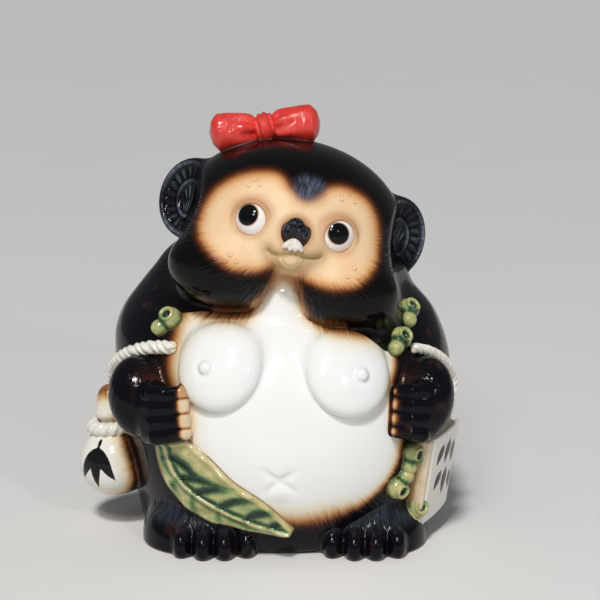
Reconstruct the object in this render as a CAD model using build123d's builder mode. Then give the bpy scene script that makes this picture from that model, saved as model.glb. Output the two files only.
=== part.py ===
"""Glazed stoneware tanuki, a seated folk ornament with a bow, a flask, an account book and six gourds.

It is built as a potter builds it: hollow front and back pressings for the body and for the head, and
separately formed pieces luted on with slip. Millimetres. The origin is on the table at the middle of the
belly, +Z is up, the face looks along -Y and +X is the viewer's right.
"""

from build123d import *
from math import cos, radians, sin, sqrt
import os

# Driving sizes of the body
body_height = 148.0
body_half_width = 84.0
belly_depth = 82.0
back_depth = 73.0
body_lean = 4.2

# Driving sizes of the head
head_half_width = 56.0
head_half_depth = 54.0
head_half_height = 42.0
head_above_neck = 4.0
head_sideways = 3.5
head_forward = 8.0
head_tilt_angle = 11.0
head_lift_angle = 10.0

# Clay and slip
wall = 6.0
floor_thickness = 7.0
drain_radius = 8.0
seam = 0.25
overrun = 2.0

# Body outline from the table to the neck: shares of height, half width, front depth, back depth and lean
body_ring_shares = [
    (0.000, 0.857, 0.780, 0.795, 0.00),
    (0.041, 0.875, 0.829, 0.836, 0.00),
    (0.135, 0.905, 0.915, 0.904, 0.00),
    (0.304, 0.958, 1.000, 0.973, 0.00),
    (0.473, 1.000, 0.982, 1.000, -0.12),
    (0.595, 1.000, 0.915, 0.973, -0.36),
    (0.676, 0.976, 0.829, 0.918, -0.71),
    (0.743, 0.923, 0.732, 0.842, -0.86),
    (0.811, 0.827, 0.604, 0.733, -1.00),
    (0.878, 0.738, 0.470, 0.610, -0.83),
    (0.932, 0.667, 0.378, 0.521, -0.71),
    (1.000, 0.524, 0.244, 0.356, -0.24),
]
body_step_share = 0.01

os.makedirs("parts", exist_ok=True)


def finish(part, name):
    """Labels a finished piece and writes its file."""
    part.label = name
    export_step(part, f"parts/{name}.step")


def egg(half_sizes, place):
    """A closed oval form with three half sizes, along the axes of its plane."""
    with BuildPart() as oval:
        Sphere(1)
        scale(by=half_sizes)
    return place.location * oval.part


def ring_at(height_share):
    """Centre x, centre y, half width and half depth of the body at a share of its height."""
    rows = body_ring_shares
    upper = next((i for i, row in enumerate(rows) if row[0] >= height_share), len(rows) - 1)
    upper = max(upper, 1)
    low, high = rows[upper - 1], rows[upper]
    part_way = (height_share - low[0]) / (high[0] - low[0])
    width, front, back, lean = (a + (b - a) * part_way for a, b in zip(low[1:], high[1:]))
    front, back = front * belly_depth, back * back_depth
    return lean * body_lean, (back - front) / 2, width * body_half_width, (back + front) / 2


def body_point(turn, height_share):
    """A point on the body: turn is 0 at the front and grows towards the viewer's right."""
    x, y, half_width, half_depth = ring_at(height_share)
    angle = radians(turn)
    return Vector(x + half_width * sin(angle), y - half_depth * cos(angle), height_share * body_height)


def body_seat(turn, height_share, lift=0.0, roll=0.0):
    """A plane on the body's surface: its x runs to the viewer's right, its y up and its z outwards."""
    here = body_point(turn, height_share)
    across = (body_point(turn + 1, height_share) - here).normalized()
    up = body_point(turn, height_share + body_step_share) - body_point(turn, height_share - body_step_share)
    outward = across.cross(up).normalized()
    return Plane(here + outward * lift, x_dir=across, z_dir=outward).rotated((0, 0, roll))


def body_form(grow=0.0):
    """The body's outer form, made larger or smaller all round by grow, with flat ends."""
    with BuildPart() as form:
        for height_share, *_ in body_ring_shares:
            x, y, half_width, half_depth = ring_at(height_share)
            with BuildSketch(Plane.XY.offset(height_share * body_height)):
                with Locations((x, y)):
                    Ellipse(half_width + grow, half_depth + grow)
        loft()
    return form.part


def lengthened(form, amount):
    """The same form with both flat ends drawn out, so that a cut made with it runs clear."""
    with BuildPart() as longer:
        add(form)
        extrude(form.faces().sort_by(Axis.Z)[0], amount=amount)
        extrude(form.faces().sort_by(Axis.Z)[-1], amount=amount)
    return longer.part


# The head's own frame: x to the viewer's right, y backwards and z up through the crown
head_centre = Vector(head_sideways, -head_forward, body_height + head_above_neck)
tilt, lift = radians(head_tilt_angle), radians(head_lift_angle)
head_right = Vector(cos(tilt), 0, -sin(tilt))
head_up = Vector(sin(tilt) * cos(lift), sin(lift), cos(tilt) * cos(lift))
head_frame = Plane(head_centre, x_dir=head_right, z_dir=head_up)
head_half_sizes = (head_half_width, head_half_depth, head_half_height)


def head_seat(turn, rise, out=0.0, roll=0.0):
    """A plane on the head's surface: its x runs to the head's right as seen, its y up and its z outwards."""
    t, e = radians(turn), radians(rise)
    a, b, c = head_half_sizes
    here = Vector(a * sin(t) * cos(e), -b * cos(t) * cos(e), c * sin(e))
    outward = Vector(here.X / a**2, here.Y / b**2, here.Z / c**2).normalized()
    across = Vector(a * cos(t), b * sin(t), 0).normalized()
    spot = head_frame.from_local_coords(here + outward * out)
    x_end = head_frame.from_local_coords(here + outward * out + across)
    z_end = head_frame.from_local_coords(here + outward * (out + 1))
    return Plane(spot, x_dir=x_end - spot, z_dir=z_end - spot).rotated((0, 0, roll))


def head_place(x, y, z, facing=(0, -1, 0), across=(1, 0, 0)):
    """A plane at a place given in the head's frame, with its z along facing and its x along across."""
    spot = head_frame.from_local_coords(Vector(x, y, z))
    z_end = head_frame.from_local_coords(Vector(x, y, z) + Vector(*facing))
    x_end = head_frame.from_local_coords(Vector(x, y, z) + Vector(*across))
    return Plane(spot, x_dir=x_end - spot, z_dir=z_end - spot)


# Breasts on the chest, each at a turn angle and a share of the body's height
breast_radius = 20.5
breast_bulge = 10.5
breast_place_shares = ((-20.0, 0.632), (22.0, 0.612))
nipple_radius = 3.3
nipple_stand = 2.2
nipple_sideways_share = 0.25


def chest_form(grow=0.0):
    """The body with both breasts on it, all grown alike."""
    with BuildPart() as chest:
        add(body_form(grow))
        for turn, height_share in breast_place_shares:
            seat = body_seat(turn, height_share)
            add(egg((breast_radius + grow, breast_radius + grow, breast_bulge + grow), seat))
            off_centre = (-1 if turn < 0 else 1) * breast_radius * nipple_sideways_share
            tip = breast_bulge * sqrt(1 - nipple_sideways_share**2)
            with Locations(seat.location * Location((off_centre, 0, tip))):
                Cylinder(nipple_radius + grow, 2 * (nipple_stand + grow))
    return chest.part


chest_cutter = chest_form(seam)
body_cutter = lengthened(body_form(seam), overrun)
cavity = lengthened(body_form(-wall), overrun)

# Navel, pressed into the belly
navel_half_sizes = (7.5, 3.6, 1.8)
navel_turn = -1.3
navel_height_share = 0.293

# Body pressings, parted at the widest line of the sides
body_span = 4 * body_half_width

with BuildPart() as body_whole:
    add(chest_form())
    add(egg(navel_half_sizes, body_seat(navel_turn, navel_height_share)), mode=Mode.SUBTRACT)
    add(cavity, mode=Mode.SUBTRACT)

with BuildPart() as body_front:
    add(body_whole.part)
    split(bisect_by=Plane.XZ.offset(seam / 2), keep=Keep.TOP)
finish(body_front.part, "body_front_shell")

with BuildPart() as body_back:
    add(body_whole.part)
    split(bisect_by=Plane.XZ.offset(-seam / 2), keep=Keep.BOTTOM)
finish(body_back.part, "body_back_shell")

# Floor slab inside the foot of the body, with the drain hole
drain_back_share = 0.35

with BuildPart() as floor_slab:
    add(body_form(-wall - seam))
    with Locations((0, 0, floor_thickness)):
        Box(body_span, body_span, body_height, align=(Align.CENTER, Align.CENTER, Align.MIN), mode=Mode.SUBTRACT)
    with Locations((0, back_depth * drain_back_share, 0)):
        Cylinder(drain_radius, 3 * floor_thickness, mode=Mode.SUBTRACT)
finish(floor_slab.part, "floor_slab")

# Cheek tufts, part of the head pressing: place in the head's frame as shares of its half sizes
cheek_shares = (0.48, -0.61, -0.64)
cheek_half_sizes = (28.5, 23.0, 19.5)
cheek_droop_angle = 12.0


def head_form(grow=0.0):
    """The skull and both cheek tufts, all grown alike."""
    with BuildPart() as head:
        add(egg(tuple(size + grow for size in head_half_sizes), head_frame))
        for side in (-1, 1):
            place = head_place(
                side * cheek_shares[0] * head_half_width,
                cheek_shares[1] * head_half_depth,
                cheek_shares[2] * head_half_height,
                facing=(0, 0, 1),
                across=(cos(radians(cheek_droop_angle)), 0, -side * sin(radians(cheek_droop_angle))),
            )
            add(egg(tuple(size + grow for size in cheek_half_sizes), place))
    return head.part


head_cutter = head_form(seam)

# Eyes: shallow domes in round pockets
eye_radius = 7.8
eye_bulge = 3.6
eye_pocket = 1.6
eye_turn = 22.0
eye_rise = -3.5
eye_seats = {"left": head_seat(-eye_turn, eye_rise), "right": head_seat(eye_turn, eye_rise)}


def eye_form(seat, grow=0.0):
    """A button with a domed front, sunk in its pocket."""
    ball_radius = (eye_radius**2 + eye_bulge**2) / (2 * eye_bulge)
    with BuildPart() as eye:
        with BuildSketch(seat.offset(-eye_pocket - grow)):
            Circle(eye_radius + grow)
        extrude(amount=eye_pocket + eye_bulge + 2 * grow)
        with Locations(seat.location * Location((0, 0, eye_bulge - ball_radius))):
            Sphere(ball_radius + grow, mode=Mode.INTERSECT)
    return eye.part


# Muzzle, nose, teeth and lower lip, placed as shares of the head's half sizes
muzzle_half_sizes = (15.0, 13.0, 13.0)
muzzle_shares = (0.0, -0.93, -0.26)
nose_half_sizes = (6.6, 6.0, 7.0)
nose_lift = 8.0
nose_out = 9.5
tooth_width = 4.6
tooth_lap = 0.3
tooth_height = 7.0
tooth_thickness = 3.0
tooth_drop = 0.6
tooth_out = 13.6
lip_half_sizes = (7.0, 4.5, 3.0)
lip_drop = 7.4
lip_out = 10.8


def muzzle_place(out=0.0, up=0.0):
    """A plane on the muzzle's middle line, out towards the viewer and up towards the brow."""
    x, y, z = (share * size for share, size in zip(muzzle_shares, head_half_sizes))
    return head_place(x, y - out, z + up, facing=(0, 0, 1))


muzzle_form = egg(muzzle_half_sizes, muzzle_place())
muzzle_cutter = egg(tuple(size + seam for size in muzzle_half_sizes), muzzle_place())
nose_form = egg(nose_half_sizes, muzzle_place(nose_out, nose_lift))
nose_cutter = egg(tuple(size + seam for size in nose_half_sizes), muzzle_place(nose_out, nose_lift))
teeth_place = muzzle_place(tooth_out, -tooth_drop)
teeth_spots = [(side * (tooth_width - tooth_lap) / 2, 0) for side in (-1, 1)]


def teeth_form(grow=0.0):
    """Two rounded front teeth side by side."""
    with BuildPart() as pair:
        with BuildSketch(teeth_place.offset(-tooth_height / 2 - grow)):
            with Locations(*teeth_spots):
                RectangleRounded(tooth_width + 2 * grow, tooth_thickness + 2 * grow, tooth_width / 4)
        extrude(amount=tooth_height + 2 * grow)
    return pair.part


with BuildPart() as muzzle:
    add(muzzle_form)
    add(head_cutter, mode=Mode.SUBTRACT)
finish(muzzle.part, "muzzle")

with BuildPart() as nose:
    add(nose_form)
    add(muzzle_cutter, mode=Mode.SUBTRACT)
    add(head_cutter, mode=Mode.SUBTRACT)
finish(nose.part, "nose")

with BuildPart() as teeth:
    add(teeth_form())
    add(muzzle_cutter, mode=Mode.SUBTRACT)
    add(nose_cutter, mode=Mode.SUBTRACT)
finish(teeth.part, "teeth")

with BuildPart() as lower_lip:
    add(egg(lip_half_sizes, muzzle_place(lip_out, -lip_drop)))
    add(muzzle_cutter, mode=Mode.SUBTRACT)
    add(teeth_form(seam), mode=Mode.SUBTRACT)
finish(lower_lip.part, "lower_lip")

# Head pressings, open at the neck, parted behind the ears' middle line
with BuildPart() as head_whole:
    add(head_form())
    add(egg(tuple(size - wall for size in head_half_sizes), head_frame), mode=Mode.SUBTRACT)
    add(chest_cutter, mode=Mode.SUBTRACT)
    for seat in eye_seats.values():
        with BuildSketch(seat.offset(-eye_pocket - seam)):
            Circle(eye_radius + seam)
        extrude(amount=2 * eye_radius, mode=Mode.SUBTRACT)
head_parting = Plane(head_centre, x_dir=head_right, z_dir=head_up.cross(head_right))

with BuildPart() as head_front:
    add(head_whole.part)
    split(bisect_by=head_parting.offset(-seam / 2), keep=Keep.BOTTOM)
finish(head_front.part, "head_front_shell")

with BuildPart() as head_back:
    add(head_whole.part)
    split(bisect_by=head_parting.offset(seam / 2), keep=Keep.TOP)
finish(head_back.part, "head_back_shell")

for side_name, seat in eye_seats.items():
    with BuildPart() as eye:
        add(eye_form(seat))
        add(muzzle_cutter, mode=Mode.SUBTRACT)
    finish(eye.part, f"eye_{side_name}")

# Ears: round dishes with a raised inner ridge, turned outwards
ear_radius = 20.5
ear_rim_radius = 3.4
ear_thickness = 4.0
ear_ridge_radius = 10.0
ear_ridge_height = 1.8
ear_back_bulge = 3.5
ear_turn_angle = 40.0
ear_place_shares = {"left": (-0.915, 0.02, 0.07), "right": (0.918, 0.02, 0.08)}


def ear_form(side_name):
    """A dish of revolution facing the viewer, its middle at the skull's side."""
    turn = radians(ear_turn_angle)
    across_share, back_share, up_share = ear_place_shares[side_name]
    side = -1 if across_share < 0 else 1
    place = head_place(
        across_share * head_half_width,
        back_share * head_half_depth,
        up_share * head_half_height,
        facing=(side * sin(turn), -cos(turn), 0),
        across=(cos(turn), side * sin(turn), 0),
    )
    rim_middle = ear_radius - ear_rim_radius
    with BuildPart() as ear:
        with BuildSketch(Plane.XZ):
            with BuildLine():
                Spline(
                    (0, -ear_thickness / 2),
                    (ear_ridge_radius / 2, 0),
                    (ear_ridge_radius, ear_ridge_height),
                    (rim_middle - ear_rim_radius, 0),
                    (rim_middle, ear_rim_radius),
                    tangents=((1, 0), (1, 0)),
                )
                RadiusArc(
                    (rim_middle, ear_rim_radius), (rim_middle, -ear_rim_radius), -ear_rim_radius, short_sagitta=False
                )
                ThreePointArc(
                    (rim_middle, -ear_rim_radius),
                    (rim_middle / 2, -ear_rim_radius - ear_back_bulge * 0.75),
                    (0, -ear_rim_radius - ear_back_bulge),
                )
                Line((0, -ear_rim_radius - ear_back_bulge), (0, -ear_thickness / 2))
            make_face()
        revolve(axis=Axis.Z)
    return place.location * ear.part


for side_name in ear_place_shares:
    with BuildPart() as ear:
        add(ear_form(side_name))
        add(head_cutter, mode=Mode.SUBTRACT)
        add(body_cutter, mode=Mode.SUBTRACT)
    finish(ear.part.solids().sort_by(SortBy.VOLUME)[-1], f"ear_{side_name}")

# Bow on the crown: two pinched loops and a knot
bow_side_share = -0.37
bow_front_share = -0.14
bow_sink = 4.0
bow_knot_half_sizes = (6.4, 8.0, 7.6)
bow_loop_length = 23.0
bow_loop_half_height = 9.2
bow_loop_half_depth = 8.5
bow_pinch = 4.6
# Along a loop, from the knot outwards: shares of its length, half height and half depth
bow_loop_shares = [
    (0.00, 0.66, 0.60),
    (0.25, 0.80, 0.80),
    (0.60, 1.00, 1.00),
    (0.80, 0.98, 0.95),
    (0.93, 0.78, 0.75),
    (1.00, 0.45, 0.40),
]
bow_rise_share = sqrt(1 - bow_side_share**2 - bow_front_share**2)
bow_up = Vector(
    bow_side_share / head_half_width, bow_front_share / head_half_depth, bow_rise_share / head_half_height
).normalized()
bow_across = Vector(0, 1, 0).cross(bow_up).normalized()
bow_middle = Vector(
    bow_side_share * head_half_width, bow_front_share * head_half_depth, bow_rise_share * head_half_height
)
bow_middle = bow_middle + bow_up * (bow_loop_half_height - bow_sink)
bow_place = head_place(*bow_middle, facing=tuple(bow_up), across=tuple(bow_across))
knot_cutter = egg(tuple(size + seam for size in bow_knot_half_sizes), bow_place)


def bow_loop(side):
    """One loop of the bow, lofted outwards from the knot."""
    with BuildPart() as loop:
        for length_share, height_share, depth_share in bow_loop_shares:
            along = bow_pinch + length_share * bow_loop_length
            section = Plane((side * along, 0, 0), x_dir=(0, 1, 0), z_dir=(side, 0, 0))
            with BuildSketch(section):
                Ellipse(depth_share * bow_loop_half_depth, height_share * bow_loop_half_height)
        loft()
    return bow_place.location * loop.part


with BuildPart() as bow_knot:
    add(egg(bow_knot_half_sizes, bow_place))
    add(head_cutter, mode=Mode.SUBTRACT)
finish(bow_knot.part, "bow_knot")

for side_name, side in (("left", -1), ("right", 1)):
    with BuildPart() as loop:
        add(bow_loop(side))
        add(knot_cutter, mode=Mode.SUBTRACT)
        add(head_cutter, mode=Mode.SUBTRACT)
    finish(loop.part, f"bow_loop_{side_name}")

# Arms: short and thick, pressed to the sides of the belly, with the paws closed over its edge
arm_depth = 15.0
arm_half_height = 20.0
arm_half_widths = {"left": 15.0, "right": 13.5}
arm_turns = {"left": -53.0, "right": 51.0}
arm_height_share = 0.505
arm_lift = 2.5
arm_roll = -18.0

# Paws: a palm and four fingers that point to the middle of the belly
palm_half_sizes = (11.0, 15.0, 8.5)
palm_turns = {"left": -44.0, "right": 47.5}
palm_height_share = 0.468
palm_lift = 5.0
palm_roll = 10.0
finger_radius = 4.0
finger_length = 11.0
finger_step = 7.1
finger_count = 4
finger_lift = 2.5

sides = {"left": -1, "right": 1}


def arm_form(side_name, grow=0.0):
    """The upper arm and elbow as one oval."""
    seat = body_seat(arm_turns[side_name], arm_height_share, arm_lift, sides[side_name] * arm_roll)
    return egg((arm_half_widths[side_name] + grow, arm_half_height + grow, arm_depth + grow), seat)


def paw_form(side_name, grow=0.0):
    """The palm and its fingers."""
    side = sides[side_name]
    seat = body_seat(palm_turns[side_name], palm_height_share, palm_lift, -side * palm_roll)
    with BuildPart() as paw:
        add(egg(tuple(size + grow for size in palm_half_sizes), seat))
        for number in range(finger_count):
            rise = (number - (finger_count - 1) / 2) * finger_step
            with Locations(seat.location * Location((0, rise, finger_lift), (0, -side * 90, 0))):
                Cylinder(finger_radius + grow, finger_length, align=(Align.CENTER, Align.CENTER, Align.MIN))
            with Locations(seat.location * Location((-side * finger_length, rise, finger_lift))):
                Sphere(finger_radius + grow)
    return paw.part


arm_cutters = {side_name: arm_form(side_name, seam) for side_name in sides}
paw_cutters = {side_name: paw_form(side_name, seam) for side_name in sides}
for side_name in sides:
    with BuildPart() as paw:
        add(paw_form(side_name))
        add(chest_cutter, mode=Mode.SUBTRACT)
    finish(paw.part, f"paw_{side_name}")
    with BuildPart() as arm:
        add(arm_form(side_name))
        add(chest_cutter, mode=Mode.SUBTRACT)
        add(paw_cutters[side_name], mode=Mode.SUBTRACT)
    finish(arm.part.solids().sort_by(SortBy.VOLUME)[-1], f"arm_{side_name}")

# Feet: a haunch, a rounded instep and four toes, cut flat on the table
instep_half_sizes = (25.0, 26.0, 25.0)
haunch_half_sizes = (25.0, 34.0, 27.0)
haunch_shares = (0.54, -0.46)
foot_middle_shares = {"left": -0.365, "right": 0.455}
foot_forward_share = 0.575
foot_rise = 2.0
toe_half_sizes = (5.4, 12.0, 9.0)
toe_rise = 6.5
toe_step = 9.2
toe_count = 4
toe_forward = 17.0
toe_curve_share = 0.30


def foot_form(side_name, grow=0.0):
    """The haunch, the instep and the toes, down to the table."""
    middle = foot_middle_shares[side_name] * body_half_width
    front = -foot_forward_share * belly_depth
    haunch_x = sides[side_name] * haunch_shares[0] * body_half_width
    haunch_y = haunch_shares[1] * belly_depth
    with BuildPart() as foot:
        add(egg(tuple(size + grow for size in instep_half_sizes), Plane((middle, front, foot_rise))))
        add(egg(tuple(size + grow for size in haunch_half_sizes), Plane((haunch_x, haunch_y, foot_rise))))
        for number in range(toe_count):
            steps = number - (toe_count - 1) / 2
            back_step = toe_curve_share * toe_step * steps**2
            spot = (middle + steps * toe_step, front - toe_forward + back_step, toe_rise)
            add(egg(tuple(size + grow for size in toe_half_sizes), Plane(spot)))
        Box(body_span, body_span, body_height, align=(Align.CENTER, Align.CENTER, Align.MAX), mode=Mode.SUBTRACT)
    return foot.part


foot_cutters = {side_name: foot_form(side_name, seam) for side_name in sides}
for side_name in sides:
    with BuildPart() as foot:
        add(foot_form(side_name))
        add(body_cutter, mode=Mode.SUBTRACT)
    finish(foot.part, f"foot_{side_name}")

# Tail: a broad brush lying against the foot of the back
tail_half_sizes = (24.0, 36.0, 13.0)
tail_height_share = 0.27
tail_turn = 172.0
tail_roll = 10.0

with BuildPart() as tail:
    add(egg(tail_half_sizes, body_seat(tail_turn, tail_height_share, 0, tail_roll)))
    add(body_cutter, mode=Mode.SUBTRACT)
    Box(body_span, body_span, body_height, align=(Align.CENTER, Align.CENTER, Align.MAX), mode=Mode.SUBTRACT)
finish(tail.part, "tail")

# Leaf over the lower belly: its outline on the front view, as shares of the body's half width and height
leaf_thickness = 3.2
leaf_rib_height = 1.2
leaf_rib_width = 2.4
leaf_lower_shares = [(-0.745, 0.375), (-0.690, 0.240), (-0.510, 0.135), (-0.240, 0.103), (0.020, 0.078)]
leaf_upper_shares = [(0.045, 0.108), (-0.110, 0.201), (-0.290, 0.272), (-0.420, 0.342), (-0.560, 0.400)]
leaf_rib_shares = [(-0.690, 0.370), (-0.500, 0.208), (0.030, 0.093)]


def on_front(shares):
    """A point of an outline drawn on the figure's front view."""
    return shares[0] * body_half_width, shares[1] * body_height


with BuildPart() as leaf_rib:
    with BuildSketch(Plane.XZ):
        with BuildLine():
            ThreePointArc(*[on_front(shares) for shares in leaf_rib_shares])
        trace(line_width=leaf_rib_width)
    extrude(amount=2 * belly_depth)
    add(body_form(leaf_thickness + leaf_rib_height), mode=Mode.INTERSECT)

with BuildPart() as leaf:
    with BuildSketch(Plane.XZ):
        with BuildLine():
            Spline(*[on_front(shares) for shares in leaf_lower_shares])
            Line(on_front(leaf_lower_shares[-1]), on_front(leaf_upper_shares[0]))
            Spline(*[on_front(shares) for shares in leaf_upper_shares])
            Line(on_front(leaf_upper_shares[-1]), on_front(leaf_lower_shares[0]))
        make_face()
    extrude(amount=2 * belly_depth)
    add(body_form(leaf_thickness), mode=Mode.INTERSECT)
    add(leaf_rib.part)
    add(body_cutter, mode=Mode.SUBTRACT)
    add(paw_cutters["left"], mode=Mode.SUBTRACT)
    add(arm_cutters["left"], mode=Mode.SUBTRACT)
    add(foot_cutters["left"], mode=Mode.SUBTRACT)
finish(leaf.part.solids().sort_by(SortBy.VOLUME)[-1], "leaf")

# Flask hung at the viewer's left: belly, neck and lip, a rope collar and a domed stopper
flask_radius = 18.2
flask_sink = 10.7
flask_turn = -81.5
flask_height_share = 0.236
flask_lean_angle = 5.0
flask_neck_radius = 5.0
flask_lip_radius = 7.8
flask_lip_height = 6.6
flask_lip_rise = 25.4
flask_foot_share = 0.93
collar_radius = 12.8
collar_half_height = 3.2
collar_rise = 18.6
stopper_radius = 7.4
stopper_rise = 10.6

flask_seat = body_seat(flask_turn, flask_height_share, flask_radius - flask_sink)
flask_lean = radians(flask_lean_angle)
flask_frame = Plane(flask_seat.origin, x_dir=(cos(flask_lean), 0, sin(flask_lean)),
                    z_dir=(-sin(flask_lean), 0, cos(flask_lean)))


def flask_form(grow=0.0):
    """The bottle: a round belly with a flattened foot, a short neck and a thick lip."""
    lip_roll = flask_lip_height / 2
    with BuildPart() as bottle:
        Sphere(flask_radius + grow)
        with Locations((0, 0, -flask_foot_share * flask_radius - grow)):
            Box(body_span, body_span, flask_radius, align=(Align.CENTER, Align.CENTER, Align.MAX),
                mode=Mode.SUBTRACT)
        Cylinder(flask_neck_radius + grow, flask_lip_rise, align=(Align.CENTER, Align.CENTER, Align.MIN))
        with Locations((0, 0, flask_lip_rise)):
            Torus(flask_lip_radius - lip_roll, lip_roll + grow)
    return flask_frame.location * bottle.part


def collar_form(grow=0.0):
    """The turns of rope round the neck, as one roll."""
    with BuildPart() as roll:
        with Locations((0, 0, collar_rise)):
            Torus(collar_radius - collar_half_height, collar_half_height + grow)
    return flask_frame.location * roll.part


def stopper_form(grow=0.0):
    """The dome over the lip."""
    with BuildPart() as dome:
        with Locations((0, 0, flask_lip_rise)):
            Cylinder(stopper_radius + grow, stopper_rise, align=(Align.CENTER, Align.CENTER, Align.MIN))
        add(egg((stopper_radius + grow, stopper_radius + grow, flask_lip_height / 2 + stopper_rise + grow),
                Plane.XY.offset(flask_lip_rise)), mode=Mode.INTERSECT)
    return flask_frame.location * dome.part


flask_cutter = flask_form(seam)

with BuildPart() as flask:
    add(flask_form())
    add(body_cutter, mode=Mode.SUBTRACT)
    add(foot_cutters["left"], mode=Mode.SUBTRACT)
finish(flask.part.solids().sort_by(SortBy.VOLUME)[-1], "flask")

with BuildPart() as stopper:
    add(stopper_form())
    add(flask_cutter, mode=Mode.SUBTRACT)
    add(body_cutter, mode=Mode.SUBTRACT)
finish(stopper.part.solids().sort_by(SortBy.VOLUME)[-1], "flask_stopper")

with BuildPart() as collar:
    add(collar_form())
    add(flask_cutter, mode=Mode.SUBTRACT)
    add(body_cutter, mode=Mode.SUBTRACT)
finish(collar.part.solids().sort_by(SortBy.VOLUME)[-1], "flask_collar")

# Six small bottle gourds: a round bulb with a dimple at its blossom end and a smaller bulb at its stalk
gourd_radius = 5.0
gourd_stalk_radius = 3.6
gourd_stalk_step = 6.6
gourd_lift = 1.5
gourd_dimple_radius = 2.2
gourd_dimple_depth = 2.0
# Turn angle, share of the body's height, and roll of the stalk from straight down
gourd_place_shares = [
    (-41.5, 0.752, -35.0),
    (56.5, 0.762, -40.0),
    (45.5, 0.692, -50.0),
    (48.0, 0.332, -15.0),
    (42.5, 0.222, 140.0),
    (53.5, 0.118, 190.0),
]


def gourd_form(turn, height_share, roll, grow=0.0):
    """One gourd lying on the body."""
    seat = body_seat(turn, height_share, gourd_lift, roll)
    with BuildPart() as gourd:
        with Locations(seat.location):
            Sphere(gourd_radius + grow)
        with Locations(seat.location * Location((0, -gourd_stalk_step, 0))):
            Sphere(gourd_stalk_radius + grow)
        with Locations(seat.location * Location((0, 0, gourd_radius - gourd_dimple_depth - grow))):
            Cone(gourd_dimple_radius / 2, gourd_dimple_radius, gourd_dimple_depth + overrun,
                 align=(Align.CENTER, Align.CENTER, Align.MIN), mode=Mode.SUBTRACT)
    return gourd.part


for number, place in enumerate(gourd_place_shares):
    beside = "left" if place[0] < 0 else "right"
    with BuildPart() as gourd:
        add(gourd_form(*place))
        add(body_cutter, mode=Mode.SUBTRACT)
        add(arm_cutters[beside], mode=Mode.SUBTRACT)
        add(paw_cutters[beside], mode=Mode.SUBTRACT)
        add(foot_cutters[beside], mode=Mode.SUBTRACT)
    finish(gourd.part.solids().sort_by(SortBy.VOLUME)[-1], f"gourd_{number + 1}")

# Account book hung at the viewer's right: a block of leaves and its outer cover
book_width = 27.0
book_height = 46.0
book_thickness = 9.0
book_cover_thickness = 1.6
book_cover_margin = 0.8
book_corner = 2.0
book_turn = 63.0
book_height_share = 0.245
book_roll = 8.0
book_sink = 3.0

book_seat = body_seat(book_turn, book_height_share, -book_sink, book_roll)


def book_block(grow=0.0):
    """The book with its cover, as one block."""
    with BuildPart() as block:
        with BuildSketch(book_seat.offset(-grow)):
            Rectangle(book_width + 2 * (book_cover_margin + grow), book_height + 2 * (book_cover_margin + grow))
        extrude(amount=book_thickness + book_cover_thickness + 2 * grow)
    return block.part


with BuildPart() as pages:
    with BuildSketch(book_seat):
        Rectangle(book_width, book_height)
    extrude(amount=book_thickness)
    add(body_cutter, mode=Mode.SUBTRACT)
    add(arm_cutters["right"], mode=Mode.SUBTRACT)
    add(foot_cutters["right"], mode=Mode.SUBTRACT)
    for place in gourd_place_shares[-3:]:
        add(gourd_form(*place, seam), mode=Mode.SUBTRACT)
finish(pages.part.solids().sort_by(SortBy.VOLUME)[-1], "book_pages")

with BuildPart() as cover:
    with BuildSketch(book_seat.offset(book_thickness)):
        RectangleRounded(book_width + 2 * book_cover_margin, book_height + 2 * book_cover_margin, book_corner)
    extrude(amount=book_cover_thickness)
    fillet(cover.faces().sort_by(SortBy.AREA)[-1].edges(), book_cover_thickness / 3)
    add(body_cutter, mode=Mode.SUBTRACT)
    add(arm_cutters["right"], mode=Mode.SUBTRACT)
    add(foot_cutters["right"], mode=Mode.SUBTRACT)
finish(cover.part.solids().sort_by(SortBy.VOLUME)[-1], "book_cover")

# Ropes that carry the flask and the book, modelled in clay: turn angle, share of the height and lift
rope_bend_radius = 7.0
flask_rope_radius = 3.2
flask_rope_lift = 1.2
flask_rope_shares = [(-38.5, 0.673), (-47, 0.664), (-57, 0.640), (-67, 0.605), (-79, 0.553), (-85, 0.480), (-82, 0.375)]
book_rope_radius = 2.3
book_rope_lift = 1.6
book_rope_shares = [(51, 0.655), (60, 0.630), (69, 0.585), (77, 0.520), (76, 0.450), (70, 0.385)]


def rope_form(place_shares, radius, rope_lift):
    """A round rope laid over the body, with rounded ends."""
    points = [body_seat(turn, height_share, rope_lift).origin for turn, height_share in place_shares]
    with BuildPart() as rope:
        with BuildLine() as route:
            FilletPolyline(*points, radius=rope_bend_radius)
        with BuildSketch(Plane(points[0], z_dir=points[1] - points[0])):
            Circle(radius)
        sweep(path=route.line)
        with Locations(points[0], points[-1]):
            Sphere(radius)
    return rope.part


with BuildPart() as flask_rope:
    add(rope_form(flask_rope_shares, flask_rope_radius, flask_rope_lift))
    add(body_cutter, mode=Mode.SUBTRACT)
    add(arm_cutters["left"], mode=Mode.SUBTRACT)
    add(flask_cutter, mode=Mode.SUBTRACT)
    add(collar_form(seam), mode=Mode.SUBTRACT)
    add(stopper_form(seam), mode=Mode.SUBTRACT)
finish(flask_rope.part.solids().sort_by(SortBy.VOLUME)[-1], "flask_rope")

with BuildPart() as book_rope:
    add(rope_form(book_rope_shares, book_rope_radius, book_rope_lift))
    add(body_cutter, mode=Mode.SUBTRACT)
    add(arm_cutters["right"], mode=Mode.SUBTRACT)
    add(book_block(seam), mode=Mode.SUBTRACT)
finish(book_rope.part.solids().sort_by(SortBy.VOLUME)[-1], "book_rope")
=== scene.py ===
"""Glazed stoneware tanuki: modelled clay surfaces and glazes over the CAD frame.

The clay is modelled in millimetres as smooth distance fields, skinned into closed meshes and put down
in metres. Each piece is luted on: its foot runs out in a soft fillet and dives just under the face that
carries it.
"""

import math

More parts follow.
